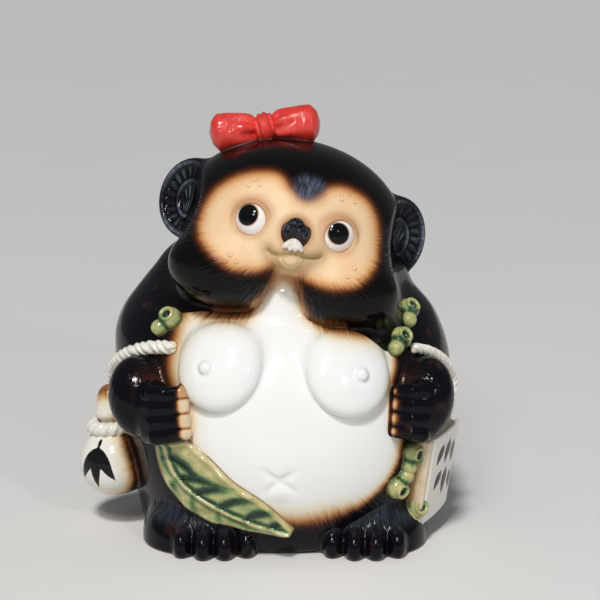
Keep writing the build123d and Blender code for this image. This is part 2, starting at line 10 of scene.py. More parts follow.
import bpy
import numpy as np
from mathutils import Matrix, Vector


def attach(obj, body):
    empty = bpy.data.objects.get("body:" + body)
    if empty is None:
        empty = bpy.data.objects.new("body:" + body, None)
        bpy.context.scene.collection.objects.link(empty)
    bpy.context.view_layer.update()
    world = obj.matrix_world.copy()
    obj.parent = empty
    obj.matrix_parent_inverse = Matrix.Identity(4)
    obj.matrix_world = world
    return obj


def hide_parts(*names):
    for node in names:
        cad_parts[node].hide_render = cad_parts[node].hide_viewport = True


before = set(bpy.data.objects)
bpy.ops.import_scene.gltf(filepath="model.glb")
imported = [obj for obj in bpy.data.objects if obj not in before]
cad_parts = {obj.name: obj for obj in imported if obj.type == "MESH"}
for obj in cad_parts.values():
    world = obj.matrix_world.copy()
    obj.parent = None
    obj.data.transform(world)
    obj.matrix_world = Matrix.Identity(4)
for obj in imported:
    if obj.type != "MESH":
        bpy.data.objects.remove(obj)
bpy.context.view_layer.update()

scene = bpy.context.scene
sides = {"left": -1, "right": 1}
MM = 0.001


# Vectors and places.


def unit(v):
    v = np.asarray(v, float)
    return v / np.linalg.norm(v)


class Seat:
    """A place with its own three directions: across, up and outward."""

    def __init__(self, origin, across, outward):
        self.origin = np.asarray(origin, float)
        outward = unit(outward)
        across = np.asarray(across, float)
        across = unit(across - outward * (across @ outward))
        self.axes = np.array([across, np.cross(outward, across), outward])

    def local(self, p):
        return (p - self.origin.astype(p.dtype)) @ self.axes.T.astype(p.dtype)

    def world(self, q):
        return self.origin + np.asarray(q, float) @ self.axes

    def moved(self, across=0.0, up=0.0, out=0.0):
        return Seat(self.world((across, up, out)), self.axes[0], self.axes[2])

    def rolled(self, angle):
        a = math.radians(angle)
        return Seat(self.origin, self.axes[0] * math.cos(a) + self.axes[1] * math.sin(a), self.axes[2])


# Clay operations on distance fields.


def join(a, b, soft=0.0):
    """Both forms together, with a soft inner corner."""
    h = np.maximum(soft - np.abs(a - b), 0) / np.maximum(soft, 1e-6)
    return np.minimum(a, b) - h * h * soft / 4


def common(a, b, soft=0.0):
    """What lies in both forms, with a soft outer corner."""
    return -join(-a, -b, soft)


def carve(a, b, soft=0.0):
    """The first form with the second taken away."""
    return -join(-a, b, soft)


def ease(x, low, high):
    """Nothing at low and one at high, with a smooth run between."""
    t = np.clip((x - low) / (high - low), 0, 1)
    return t * t * (3 - 2 * t)


def bell(x, width):
    """One at zero, fading to nothing on both sides."""
    return np.exp(-((x / width) ** 2))


def oval_distance(q, half, middle=(0, 0, 0)):
    """Nearly the distance to an oval with three half sizes."""
    q, half = q - np.asarray(middle, q.dtype), np.asarray(half, q.dtype)
    k0 = np.linalg.norm(q / half, axis=1)
    k1 = np.linalg.norm(q / half**2, axis=1) + 1e-9
    return k0 * (k0 - 1) / k1


def oval(half, seat):
    """An oval lump with three half sizes along its seat's directions."""
    return lambda p: oval_distance(seat.local(p), half)


def off_segment(q, a, b):
    """The way to each point from the nearest one of a straight piece, and the share of its length there."""
    e, w = (b - a).astype(q.dtype), q - a.astype(q.dtype)
    t = np.clip(w @ e / (e @ e), 0, 1)
    return w - t[:, None] * e, t


def roll_between(a, b, start_radius, end_radius):
    """A round roll of clay that tapers from one point to another."""

    def field(p):
        way, t = off_segment(p, a, b)
        return np.linalg.norm(way, axis=1) - (start_radius + (end_radius - start_radius) * t)

    return field


def chain(points, radii):
    """A line of rolls through several points, with a radius for each point."""
    rolls = [roll_between(a, b, r, s) for a, b, r, s in zip(points, points[1:], radii, radii[1:])]
    return lambda p: np.minimum.reduce([roll(p) for roll in rolls])


def joined(forms, p, soft):
    """Several forms run together one after another."""
    f = forms[0](p)
    for form in forms[1:]:
        f = join(f, form(p), soft)
    return f


def outline_distance(q, outline):
    """Signed distance in the plane to a closed outline, negative inside."""
    q = q.astype(np.float32)
    outline = np.asarray(outline, np.float32)
    best = np.full(len(q), 1e9, np.float32)
    inside = np.zeros(len(q), bool)
    for a, b in zip(outline, np.roll(outline, -1, axis=0)):
        best = np.minimum(best, (off_segment(q, a, b)[0] ** 2).sum(1))
        crosses = (a[1] > q[:, 1]) != (b[1] > q[:, 1])
        with np.errstate(divide="ignore", invalid="ignore"):
            at = (b[0] - a[0]) * (q[:, 1] - a[1]) / (b[1] - a[1]) + a[0]
        inside ^= crosses & (q[:, 0] < at)
    return np.where(inside, -1, 1) * np.sqrt(best)


def rounded(outline, steps=6, closed=True):
    """The same outline drawn as a smooth curve through its points."""
    pts = np.asarray(outline, float)
    n = len(pts)
    found = []
    for i in range(n if closed else n - 1):
        four = np.arange(i - 1, i + 3)
        a, b, c, d = pts[four % n if closed else np.clip(four, 0, n - 1)]
        bend, turn = 2 * a - 5 * b + 4 * c - d, 3 * b - a - 3 * c + d
        for t in np.arange(steps) / steps:
            found.append(0.5 * (2 * b + (c - a) * t + bend * t**2 + turn * t**3))
    return np.array(found if closed else [*found, pts[-1]])


def line_distance(q, line):
    """Distance in the plane to an open line."""
    best = np.full(len(q), 1e9, np.float32)
    for a, b in zip(line, line[1:]):
        best = np.minimum(best, (off_segment(q, a, b)[0] ** 2).sum(1))
    return np.sqrt(best)


def drawn(q, line, width, where):
    """How strongly a line drawn in the front view marks each point: one on it, fading over the width."""
    mark = np.zeros(len(q), np.float32)
    if where.any():
        flat = q[where][:, [0, 2]].astype(np.float32)
        mark[where] = bell(line_distance(flat, line), width)
    return mark


dive_depth = 1.6


def laid_on(form, base, soft, under=0.15):
    """The form luted on its base, with a soft fillet whose edge lies just under the base's face."""

    def field(p):
        f, b = form(p), base(p)
        wide = soft(p) if callable(soft) else soft
        foot = common(np.maximum(join(f, b + under, wide), f - wide * 0.99), -(b + dive_depth))
        return common(foot, 0.02 - p[:, 2], 0.8)

    return field


# Skinning.

points_at_once = 400000
block = 6


def values_of(field, p):
    chunk = points_at_once
    return np.concatenate([field(p[i : i + chunk]).astype(np.float32) for i in range(0, len(p), chunk)])


def skinned(field, low, high, cell):
    """A closed quad mesh on the zero face of a distance field: points in millimetres and faces."""
    low = np.asarray(low, float) - 2 * cell
    count = np.ceil((np.asarray(high, float) + 2 * cell - low) / cell).astype(int)
    count = ((count + block - 1) // block) * block
    blocks = count // block
    # The field is read only in the blocks of cells that its zero face may pass.
    centres = np.stack(np.meshgrid(*[np.arange(b) for b in blocks], indexing="ij"), -1).reshape(-1, 3)
    spots = (low + (centres + 0.5) * block * cell).astype(np.float32)
    near = np.abs(values_of(field, spots)) < block * cell * 1.25
    known = np.zeros(count + 1, bool)
    for i, j, k in centres[near] * block:
        known[i : i + block + 1, j : j + block + 1, k : k + block + 1] = True
    at = np.argwhere(known)
    v = np.full(count + 1, 1e3, np.float32)
    v[known] = values_of(field, (low + at * cell).astype(np.float32))
    v[v == 0] = 1e-6
    # An edge of the grid that crosses the zero face gives a quad between the four cells round it.
    cells, places, faces = [], [], []
    for a in range(3):
        b, c = (a + 1) % 3, (a + 2) % 3
        first = tuple(slice(0, -1) if k == a else slice(None) for k in range(3))
        second = tuple(slice(1, None) if k == a else slice(None) for k in range(3))
        crossed = ((v[first] < 0) != (v[second] < 0)) & known[first] & known[second]
        idx = np.argwhere(crossed)
        v0, v1 = v[first][crossed], v[second][crossed]
        spot = idx.astype(np.float64)
        spot[:, a] += v0 / (v0 - v1)
        four = []
        for sb, sc in ((0, 0), (-1, 0), (-1, -1), (0, -1)):
            cell_at = idx.copy()
            cell_at[:, b] += sb
            cell_at[:, c] += sc
            four.append(np.ravel_multi_index(cell_at.T, count + 1))
            places.append(spot)
        cells += four
        quad = np.stack(four, 1)
        quad[v0 > 0] = quad[v0 > 0][:, ::-1]
        faces.append(quad)
    cells, places, faces = np.concatenate(cells), np.concatenate(places), np.concatenate(faces)
    # A cell's point is the middle of its crossings, and then slides onto the zero face.
    names, back = np.unique(cells, return_inverse=True)
    tally = np.bincount(back)
    points = np.stack([np.bincount(back, places[:, k]) / tally for k in range(3)], 1)
    p = (low + points * cell).astype(np.float32)
    corners = np.array([(1, -1, -1), (-1, -1, 1), (-1, 1, -1), (1, 1, 1)], np.float32)
    reach = cell * 0.4
    for _ in range(2):
        slope = sum(k * values_of(field, p + k * reach)[:, None] for k in corners) / (4 * reach)
        move = values_of(field, p)[:, None] * slope / np.maximum((slope * slope).sum(1), 0.05)[:, None]
        far = np.linalg.norm(move, axis=1, keepdims=True)
        p = p - move * np.minimum(1, 0.7 * cell / np.maximum(far, 1e-6))
    return p, np.searchsorted(names, faces)


def put_down(name, points, faces, finish, nodes, paint):
    """Makes the Blender object in metres with its painted values, and gives it its body and nodes."""
    material, slot = finish
    mesh = bpy.data.meshes.new(name)
    mesh.from_pydata((points * MM).tolist(), [], faces.tolist())
    mesh.validate()
    mesh.shade_smooth()
    for key, value in paint.items():
        value = np.asarray(value, np.float32)
        kind, part = ("FLOAT", "value") if value.ndim == 1 else ("FLOAT_VECTOR", "vector")
        mesh.attributes.new(key, kind, "POINT").data.foreach_set(part, value.ravel())
    mesh.materials.append(material)
    piece = bpy.data.objects.new(name, mesh)
    scene.collection.objects.link(piece)
    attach(piece, "root")
    if nodes:
        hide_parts(*nodes)


def around(points, reach):
    """The box that holds one or more points with room to spare."""
    points = np.atleast_2d(points)
    return points.min(0) - reach, points.max(0) + reach


def modelled(name, field, box, cell, finish, nodes, paint):
    """A piece of clay from its distance field: cell is the mesh's fineness in millimetres."""
    points, faces = skinned(field, *box, cell)
    put_down(name, points, faces, finish, nodes, paint(points))


# Body form.

body_height, body_half_width, body_front_depth = 148.0, 84.0, 82.0
ring_heights = np.array([0, 6, 20, 45, 70, 88, 100, 110, 120, 130, 138, 148], float)
ring_half_widths = np.array([72, 73.5, 76, 80.5, 84, 84, 82, 77.5, 69.5, 62, 56, 44], float)
ring_middles = np.array([0, 0, 0, 0, -0.5, -1.5, -3, -3.6, -4.2, -3.5, -3, -1], float)
ring_fronts = np.array([64, 68, 75, 82, 80.5, 75, 68, 60, 49.5, 38.5, 31, 20], float)
ring_backs = np.array([58, 61, 66, 71, 73, 71, 67, 61.5, 53.5, 44.5, 38, 26], float)
fine_heights = np.linspace(0, body_height, 297)
wall = 6.0


def drawn_through(values):
    """Fine values at every half millimetre of height, on a smooth curve through the rings."""
    slope = np.gradient(values, ring_heights)
    i = np.clip(np.searchsorted(ring_heights, fine_heights, side="right") - 1, 0, len(values) - 2)
    h = ring_heights[i + 1] - ring_heights[i]
    t = (fine_heights - ring_heights[i]) / h
    start = (2 * t**3 - 3 * t**2 + 1) * values[i] + (t**3 - 2 * t**2 + t) * h * slope[i]
    return start + (-2 * t**3 + 3 * t**2) * values[i + 1] + (t**3 - t**2) * h * slope[i + 1]


ring_columns = ring_middles, (ring_backs - ring_fronts) / 2, ring_half_widths, (ring_fronts + ring_backs) / 2
fine_rings = [drawn_through(column) for column in ring_columns]


def ring_at(z):
    z = np.clip(z, 0, body_height)
    return [np.interp(z, fine_heights, column) for column in fine_rings]


def body_side(p):
    """Distance to the body's side wall."""

    def flat(z):
        x, y, a, b = ring_at(z)
        u, v = (p[:, 0] - x) / a, (p[:, 1] - y) / b
        k0 = np.sqrt(u * u + v * v)
        return k0 * (k0 - 1) / (np.sqrt((u / a) ** 2 + (v / b) ** 2) + 1e-9)

    here = flat(p[:, 2])
    steep = flat(p[:, 2] + 0.5) - flat(p[:, 2] - 0.5)
    return here / np.sqrt(1 + steep**2)


def body_point(turn, share):
    """A point on the body's side: turn in degrees from the front, and share of the height."""
    x, y, a, b = ring_at(share * body_height)
    t = math.radians(turn)
    return np.array([x + a * math.sin(t), y - b * math.cos(t), share * body_height])


def body_seat(turn, share, lift=0.0, roll=0.0):
    here = body_point(turn, share)
    across = body_point(turn + 1, share) - here
    up = body_point(turn, share + 0.01) - body_point(turn, share - 0.01)
    outward = unit(np.cross(across, up))
    return Seat(here + outward * lift, across, outward).rolled(roll)


# Head form.

tilt, lift = math.radians(11), math.radians(10)
head_right = np.array([math.cos(tilt), 0, -math.sin(tilt)])
head_up = np.array([math.sin(tilt) * math.cos(lift), math.sin(lift), math.cos(tilt) * math.cos(lift)])
head_back = np.cross(head_up, head_right)
head_centre = np.array([3.5, -8.0, 152.0])
head_half = (56.0, 54.0, 42.0)
head_axes = np.array([head_right, head_back, head_up])


def head_local(p):
    return (p - head_centre.astype(p.dtype)) @ head_axes.T.astype(p.dtype)


def head_world(x, y, z):
    return head_centre + np.array([x, y, z], float) @ head_axes


def head_place(x, y, z, facing=(0, -1, 0), across=(1, 0, 0)):
    return Seat(head_world(x, y, z), np.array(across, float) @ head_axes, np.array(facing, float) @ head_axes)


def head_seat(turn, rise):
    """A place on the skull: turn and rise in degrees from the middle of the face."""
    t, e = math.radians(turn), math.radians(rise)
    a, b, c = head_half
    here = np.array([a * math.sin(t) * math.cos(e), -b * math.cos(t) * math.cos(e), c * math.sin(e)])
    outward = unit(here / np.array(head_half) ** 2)
    across = unit((a * math.cos(t), b * math.sin(t), 0))
    return head_place(*here, facing=outward, across=across)


cheek_droop = math.radians(12)
cheek_seats = [
    head_place(
        side * 27.5, -33.0, -27.0, (0, 0, 1), (math.cos(cheek_droop), 0, -side * math.sin(cheek_droop))
    )
    for side in (-1, 1)
]
cheeks = [oval((28.5, 23.0, 19.5), seat) for seat in cheek_seats]
skull = oval(head_half, head_place(0, 0, 0, (0, 0, 1)))
muzzle = oval((14.5, 12.0, 12.0), head_place(0, -49.5, -11.5, (0, 0, 1)))
eye_seats = {"left": head_seat(-22, -3.5), "right": head_seat(22, -3.5)}
eye_radius, eye_bulge = 7.8, 3.6
eye_ball = (eye_radius**2 + eye_bulge**2) / (2 * eye_bulge)

ear_hollows = [(-60.4, -16, 3.4), (60.6, -16, 3.8)]


def chin_part(q):
    """How far a point lies outside the parting between the tufts, which opens downwards."""
    return np.abs(q[:, 0] - 0.5) - 4.2 - 0.42 * np.maximum(-24 - q[:, 2], 0)


def head_mass(p):
    """The skull with its cheek tufts, parted under the chin, before the face is worked."""
    q = head_local(p)
    lobes = carve(joined(cheeks, p, 0.0), np.maximum(chin_part(q), q[:, 2] + 21.5), 2.5)
    f = join(skull(p), lobes, 3.0 + 12.0 * ease(np.abs(q[:, 0]), 6, 24))
    for middle in ear_hollows:
        f = carve(f, oval_distance(q, (13.0, 24.0, 16.0), middle), 6.0)
    return f


# Flows: where brush and tool strokes run.


def radial_flow(p, centre, axis, radius):
    """Strokes that run away from a pole: the place across them in millimetres, and a squeezed one along."""
    along = 0.2
    axis = unit(axis)
    side = unit(np.cross(axis, (0.3, 0.1, 0.9)))
    d = p - np.asarray(centre, p.dtype)
    d = d / np.maximum(np.linalg.norm(d, axis=1, keepdims=True), 1e-6)
    u, v, w = d @ side, d @ np.cross(axis, side), np.clip(d @ axis, -1, 1)
    flat = np.maximum(np.hypot(u, v), 1e-6)
    return np.stack([u / flat * radius, v / flat * radius, np.arccos(w) * radius * along], 1)


def straight_flow(p, axis, along=0.12):
    """Strokes that run along one direction."""
    axis = unit(axis).astype(p.dtype)
    return p - (1 - along) * (p @ axis)[:, None] * axis


# Finishes.


class Bench:
    """A node tree with short ways to add nodes."""

    def __init__(self, tree):
        self.tree, self.nodes, self.links = tree, tree.nodes, tree.links

    def feed(self, socket, value):
        if isinstance(value, bpy.types.NodeSocket):
            self.links.new(value, socket)
        elif value is not None:
            socket.default_value = value

    def math(self, operation, a, b, clamp=False):
        node = self.nodes.new("ShaderNodeMath")
        node.operation, node.use_clamp = operation, clamp
        for socket, value in zip(node.inputs, (a, b)):
            self.feed(socket, value)
        return node.outputs[0]

    def plus(self, a, b):
        return self.math("ADD", a, b)

    def minus(self, a, b, clamp=False):
        return self.math("SUBTRACT", a, b, clamp=clamp)

    def times(self, a, b):
        return self.math("MULTIPLY", a, b)

    def vector(self, operation, a, b=None, scale=None):
        node = self.nodes.new("ShaderNodeVectorMath")
        node.operation = operation
        self.feed(node.inputs[0], a)
        self.feed(node.inputs[1], b)
        if scale is not None:
            self.feed(node.inputs["Scale"], scale)
        return node.outputs["Value" if operation == "LENGTH" else "Vector"]

    def between(self, value, low, high, to_low=0.0, to_high=1.0, smooth=True):
        node = self.nodes.new("ShaderNodeMapRange")
        node.interpolation_type = "SMOOTHSTEP" if smooth else "LINEAR"
        given = value, low, high, to_low, to_high
        for key, value in zip(("Value", "From Min", "From Max", "To Min", "To Max"), given):
            self.feed(node.inputs[key], value)
        return node.outputs[0]

    def noise(self, vector, scale, detail=2.0, roughness=0.5, distortion=0.0):
        node = self.nodes.new("ShaderNodeTexNoise")
        given = vector, scale, detail, roughness, distortion
        for key, value in zip(("Vector", "Scale", "Detail", "Roughness", "Distortion"), given):
            self.feed(node.inputs[key], value)
        return node.outputs["Fac"]

    def ramp(self, value, stops):
        """A colour ramp over stops given as (value, colour)."""
        low, high = stops[0][0], stops[-1][0]
        node = self.nodes.new("ShaderNodeValToRGB")
        self.feed(node.inputs[0], self.between(value, low, high, smooth=False))
        ramp = node.color_ramp
        while len(ramp.elements) < len(stops):
            ramp.elements.new(0.5)
        for element, (at, _) in zip(ramp.elements, stops):
            element.position = (at - low) / (high - low)
        for element, (_, colour) in zip(ramp.elements, stops):
            element.color = (*colour, 1)
        return node.outputs[0]

    def mix(self, share, a, b, blend="MIX"):
        node = self.nodes.new("ShaderNodeMix")
        node.data_type, node.blend_type = "RGBA", blend
        self.feed(node.inputs[0], share)
        for socket, value in zip((node.inputs[6], node.inputs[7]), (a, b)):
            self.feed(socket, (*value, 1) if isinstance(value, tuple) and len(value) == 3 else value)
        return node.outputs[2]

    def painted(self, name, vector=False):
        node = self.nodes.new("ShaderNodeAttribute")
        node.attribute_name = name
        return node.outputs["Vector" if vector else "Fac"]

    def place(self):
        """Object coordinates in millimetres."""
        return self.vector("SCALE", self.nodes.new("ShaderNodeTexCoord").outputs["Object"], scale=1000.0)

    def group(self, tree, **inputs):
        node = self.nodes.new("ShaderNodeGroup")
        node.node_tree = tree
        for key, value in inputs.items():
            self.feed(node.inputs[key], value)
        return node.outputs


def new_group(name, inputs, outputs):
    """A shader node group with named sockets, its bench, and what goes in and comes out."""
    tree = bpy.data.node_groups.new(name, "ShaderNodeTree")
    for key, kind, value in inputs:
        socket = tree.interface.new_socket(key, in_out="INPUT", socket_type="NodeSocket" + kind)
        if value is not None:
            socket.default_value = value
    for key, kind in outputs:
        tree.interface.new_socket(key, in_out="OUTPUT", socket_type="NodeSocket" + kind)
    bench = Bench(tree)
    return tree, bench, bench.nodes.new("NodeGroupInput").outputs, bench.nodes.new("NodeGroupOutput").inputs


def build_fur_edge():
    """Breaks up a painted edge into fine strokes that follow the flow, and gives the strokes as a height."""
    tree, b, put, out = new_group(
        "fur_edge",
        [("Edge", "Float", 0.0), ("Flow", "Vector", None), ("Width", "Float", 1.4), ("Reach", "Float", 4.0)],
        [("Edge", "Float"), ("Strokes", "Float")],
    )
    scale = b.math("DIVIDE", 1.0, put["Width"])
    coarse = b.noise(put["Flow"], b.times(scale, 0.45), 2.0, 0.6)
    fine = b.noise(put["Flow"], scale, 1.0, 0.5)
    both = b.plus(b.times(coarse, 0.45), b.times(fine, 0.55))
    shift = b.times(b.minus(both, 0.5), b.times(put["Reach"], 2.6))
    b.feed(out["Edge"], b.plus(put["Edge"], shift))
    b.feed(out["Strokes"], b.between(fine, 0.32, 0.68))
    return tree


def build_glaze_skin():
    """The soft unevenness of a thick glaze: a height in millimetres and a roughness mask."""
    tree, b, put, out = new_group(
        "glaze_skin",
        [("Place", "Vector", None), ("Swell", "Float", 0.10), ("Pit", "Float", 0.02)],
        [("Height", "Float"), ("Haze", "Float")],
    )
    swell = b.noise(put["Place"], 0.11, 2.0, 0.4)
    pit = b.noise(put["Place"], 1.6, 2.0, 0.5)
    b.feed(out["Height"], b.plus(b.times(swell, put["Swell"]), b.times(pit, put["Pit"])))
    b.feed(out["Haze"], b.noise(put["Place"], 0.06, 3.0, 0.55))
    return tree


def build_slip_shade():
    """The airbrushed slips by millimetres of edge: white, cream, orange brown, dark brown and black."""
    tree, b, put, out = new_group("slip_shade", [("Edge", "Float", 0.0)], [("Color", "Color")])
    b.feed(out["Color"], b.ramp(put["Edge"], slip_stops))
    return tree


# Colours are linear. Slips run from white to black by millimetres across a painted edge.
slip_stops = [
    (-16.0, (0.85, 0.85, 0.84)),
    (-9.5, (0.83, 0.80, 0.73)),
    (-6.0, (0.78, 0.68, 0.52)),
    (-3.0, (0.60, 0.38, 0.19)),
    (-0.8, (0.31, 0.125, 0.040)),
    (1.2, (0.075, 0.022, 0.010)),
    (3.0, (0.014, 0.007, 0.006)),
    (5.5, (0.0034, 0.0036, 0.0058)),
]
face_stops = [
    (-6.0, (1.0, 1.0, 1.0)),
    (-3.0, (0.92, 0.82, 0.70)),
    (-1.0, (0.66, 0.44, 0.27)),
    (0.8, (0.22, 0.095, 0.045)),
    (2.6, (0.040, 0.016, 0.012)),
    (4.8, (0.0040, 0.0042, 0.0064)),
]
# The green glaze runs from bare clay to a deep pool.
green_stops = [
    (-0.2, (0.66, 0.60, 0.42)),
    (0.12, (0.52, 0.45, 0.19)),
    (0.34, (0.30, 0.36, 0.15)),
    (0.55, (0.12, 0.21, 0.075)),
    (0.78, (0.030, 0.075, 0.030)),
    (1.1, (0.008, 0.024, 0.012)),
]
# The second of these is a painted bluish sheen, laid where highlights fall on ridges and strokes.
rubbed_brown, sheen_blue = (0.095, 0.030, 0.012), (0.170, 0.200, 0.260)
tan_slip, light_tan_slip, freckle_brown = (0.80, 0.54, 0.32), (0.83, 0.60, 0.37), (0.60, 0.33, 0.16)
blush_brown, chest_cream, fringe_brown = (0.40, 0.16, 0.055), (0.80, 0.74, 0.63), (0.17, 0.060, 0.020)
# The face's blue is a painted sheen for the brow's peak, standing in for a highlight.
face_sheen_blue, mouth_olive = (0.105, 0.120, 0.175), (0.330, 0.225, 0.085)
eye_white, eye_edge = (0.85, 0.83, 0.80), (0.50, 0.24, 0.10)
pupil_edge, pupil_black = (0.30, 0.16, 0.09), (0.004, 0.004, 0.005)
nose_black, nose_grey, nose_foot = (0.005, 0.005, 0.007), (0.050, 0.052, 0.075), (0.030, 0.012, 0.008)
tooth_white, tooth_brown = (0.80, 0.77, 0.72), (0.62, 0.55, 0.46)
light_red, full_red, pooled_red = (0.80, 0.046, 0.030), (0.70, 0.026, 0.018), (0.10, 0.012, 0.008)
leaf_foot, warm_white, brushed_black = (0.16, 0.065, 0.025), (0.98, 0.97, 0.94), (0.008, 0.008, 0.009)
light_grog, dark_grog = (0.50, 0.34, 0.22), (0.36, 0.22, 0.13)
table_grey, table_white = (0.80, 0.79, 0.775), (0.83, 0.82, 0.81)

fur_edge, glaze_skin, slip_shade = build_fur_edge(), build_glaze_skin(), build_slip_shade()


def new_finish(name):
    """A material, its bench and the place in millimetres that its patterns read."""
    material = bpy.data.materials.new(name)
    material.use_nodes = True
    bench = Bench(material.node_tree)
    return material, bench, bench.place()


def finish_surface(b, colour, height, roughness, coat=0.0, specular=0.5):
    """Feeds the shader: colour, height in millimetres, roughness, clear coat and how strongly it mirrors."""
    bump = b.nodes.new("ShaderNodeBump")
    bump.inputs["Strength"].default_value = 1.0
    bump.inputs["Distance"].default_value = MM
    b.feed(bump.inputs["Height"], height)
    shader = b.nodes["Principled BSDF"].inputs
    shader["Specular IOR Level"].default_value = specular
    shader["Coat Roughness"].default_value = 0.05
    b.feed(shader["Base Color"], colour)
    b.feed(shader["Roughness"], roughness)
    b.feed(shader["Coat Weight"], coat)
    b.feed(shader["Normal"], bump.outputs[0])


def haze_roughness(b, skin, low, high):
    """Roughness that drifts between two values with the glaze's haze."""
    return b.between(skin["Haze"], 0.3, 0.7, low, high)


def painted_fur(b, key, flow, width, reach):
    """A painted edge broken up by strokes along a painted flow."""
    return b.group(fur_edge, Edge=b.painted(key), Flow=b.painted(flow, True), Width=width, Reach=reach)


def slip_glaze(name, with_tuft=False):
    """Glossy clear glaze over airbrushed slips; reads the painted edge and flow."""
    material, b, place = new_finish(name)
    worked = painted_fur(b, "edge", "flow", 1.3, b.painted("reach"))
    edge, strokes = worked["Edge"], worked["Strokes"]
    fur = b.times(strokes, b.painted("fur"))
    if with_tuft:
        fringe = painted_fur(b, "tuft", "tuft_flow", 0.8, 3.8)
        edge = b.math("MAXIMUM", edge, fringe["Edge"])
        combed = b.times(b.between(b.painted("tuft"), -9.0, -1.0), fringe["Strokes"])
        fur = b.plus(fur, combed)
    cloud = b.noise(place, 0.045, 3.0, 0.6)
    drift = b.times(b.minus(cloud, 0.5), 1.2)
    edge = b.plus(edge, drift)
    colour = b.group(slip_shade, Edge=edge)["Color"]
    dark = b.between(edge, -2.0, 3.0)
    rub = b.times(b.between(b.noise(place, 0.09, 4.0, 0.65), 0.56, 0.72), b.painted("rub"))
    colour = b.mix(b.times(rub, dark), colour, rubbed_brown)
    # Painted bluish sheen on ridges and strokes, standing in for highlights.
    painted_sheen = b.times(b.painted("painted_sheen"), b.between(strokes, 0.1, 0.9, 0.45, 1.0))
    colour = b.mix(painted_sheen, colour, sheen_blue)
    skin = b.group(glaze_skin, Place=place)
    height = b.plus(b.times(fur, 0.20), skin["Height"])
    clear = b.between(edge, -5.0, 0.5, 0.6, 0.0)
    finish_surface(b, colour, height, haze_roughness(b, skin, 0.07, 0.15), clear, 0.16)
    return material


def plain_paint(points, edge, flow, fur, rub, reach=2.0, painted_sheen=0.0):
    """The painted values of a limb: one number for the whole piece, or one for each point."""
    full = np.ones(len(points), np.float32)
    values = {"edge": edge, "fur": fur, "rub": rub, "reach": reach, "painted_sheen": painted_sheen}
    return {"flow": flow, **{key: full * value for key, value in values.items()}}


# A piece's finish is its material and the record's slot.
body_finish = slip_glaze("body_glaze_finish", with_tuft=True), "body_glaze"
limb_finish = slip_glaze("limb_glaze_finish"), "body_glaze"


def build_face_finish():
    """Satin tan slip on the face running into the black fur."""
    material, b, place = new_finish("face_glaze_finish")
    worked = painted_fur(b, "edge", "flow", 1.1, b.painted("reach"))
    edge, strokes = worked["Edge"], worked["Strokes"]
    speck = b.noise(place, 1.3, 3.0, 0.6)
    tan = b.mix(b.between(b.noise(place, 0.05, 2.0, 0.5), 0.35, 0.65), tan_slip, light_tan_slip)
    tan = b.mix(b.times(b.between(speck, 0.55, 0.7), 0.12), tan, freckle_brown)
    tan = b.mix(b.painted("blush"), tan, blush_brown)
    tan = b.mix(b.painted("chest"), tan, chest_cream)
    shade = b.ramp(edge, face_stops)
    colour = b.mix(1.0, tan, shade, "MULTIPLY")
    brown = b.between(painted_fur(b, "rim", "flow", 1.1, 2.6)["Edge"], 5.6, 0.4)
    colour = b.mix(b.times(brown, b.between(edge, 0.0, 3.0)), colour, fringe_brown)
    # Painted bluish sheen on the brow's peak, standing in for a highlight.
    painted_sheen = b.times(b.painted("painted_sheen"), b.between(strokes, 0.1, 0.9, 0.25, 1.0))
    colour = b.mix(painted_sheen, colour, face_sheen_blue)
    colour = b.mix(b.painted("olive"), colour, mouth_olive)
    dark = b.between(edge, -1.0, 3.0)
    skin = b.group(glaze_skin, Place=place)
    fur = b.times(b.times(strokes, b.painted("fur")), 0.24)
    height = b.plus(fur, b.plus(skin["Height"], b.times(speck, 0.015)))
    rough = b.between(dark, 0.0, 1.0, 0.42, 0.15, smooth=False)
    finish_surface(b, colour, height, rough, specular=0.17)
    return material


face_finish = build_face_finish(), "face_glaze"


# Body.

breast_seats = [body_seat(-20, 0.632), body_seat(22, 0.612)]
breast_half = 20.5, 21.0, 9.0
nipple_seats = [breast_seats[0].moved(-4.0, -2.4, 8.5), breast_seats[1].moved(3.4, -2.7, 8.5)]
nipples = [oval((3.3, 3.3, 2.7), seat) for seat in nipple_seats]
throat = oval((17, 15, 17), Seat((0.5, -38, 122), (1, 0, 0), (0, -1, 0)))


def with_breasts(f, p):
    """Two soft breasts: sharp under their lower edge, running out smoothly towards the chest above."""
    for seat in breast_seats:
        q = seat.local(p)
        f = join(f, oval_distance(q, breast_half), 1.8 + 6.5 * ease(q[:, 1], -2, 16))
    return f


def belly_line(*places):
    """A line on the belly in the front view, through points of turn angle and share of the height."""
    return rounded([body_point(turn, share)[[0, 2]] for turn, share in places], 4, False)


navel = body_point(-2.0, 0.283)
navel_lines = [
    belly_line((-8.2, 0.322), (-6.2, 0.312), (-2.0, 0.287), (2.4, 0.309), (4.2, 0.318)),
    belly_line((-7.4, 0.236), (-5.4, 0.248), (-2.2, 0.279), (3.2, 0.248), (5.4, 0.234)),
]


def body_solid(p):
    """The body with breasts, throat and a rounded foot, as one solid."""
    f = with_breasts(join(body_side(p), throat(p), 9.0), p)
    return common(common(f, -p[:, 2], 3.0), p[:, 2] - body_height, 2.0)


def body_worked(p):
    """The body with nipples and navel, hollow above its floor."""
    f = body_solid(p)
    for nipple, seat in zip(nipples, nipple_seats):
        x, y, z = seat.local(p).T
        ring = bell(np.hypot(x, y) - 4.3, 0.8) * (np.abs(z) < 6)
        f = join(f + 0.4 * ring, nipple(p), 0.8)
    away = np.linalg.norm(p - navel, axis=1)
    near = away < 16
    creases = np.maximum(drawn(p, navel_lines[0], 1.5, near), drawn(p, navel_lines[1], 1.5, near))
    f = f + 1.25 * (1 - ease(away, 3, 13)) * creases
    f = f - 0.9 * bell(p[:, 0] - navel[0], 4.5) * bell(p[:, 2] - navel[2] + 6.5, 4.0) * near
    pocket = np.maximum(body_side(p) + wall, p[:, 2] - 7.3)
    hollow = oval_distance(p, (42, 30, 40), (0, 24, 34))
    return np.maximum(f, -np.minimum(pocket, hollow))


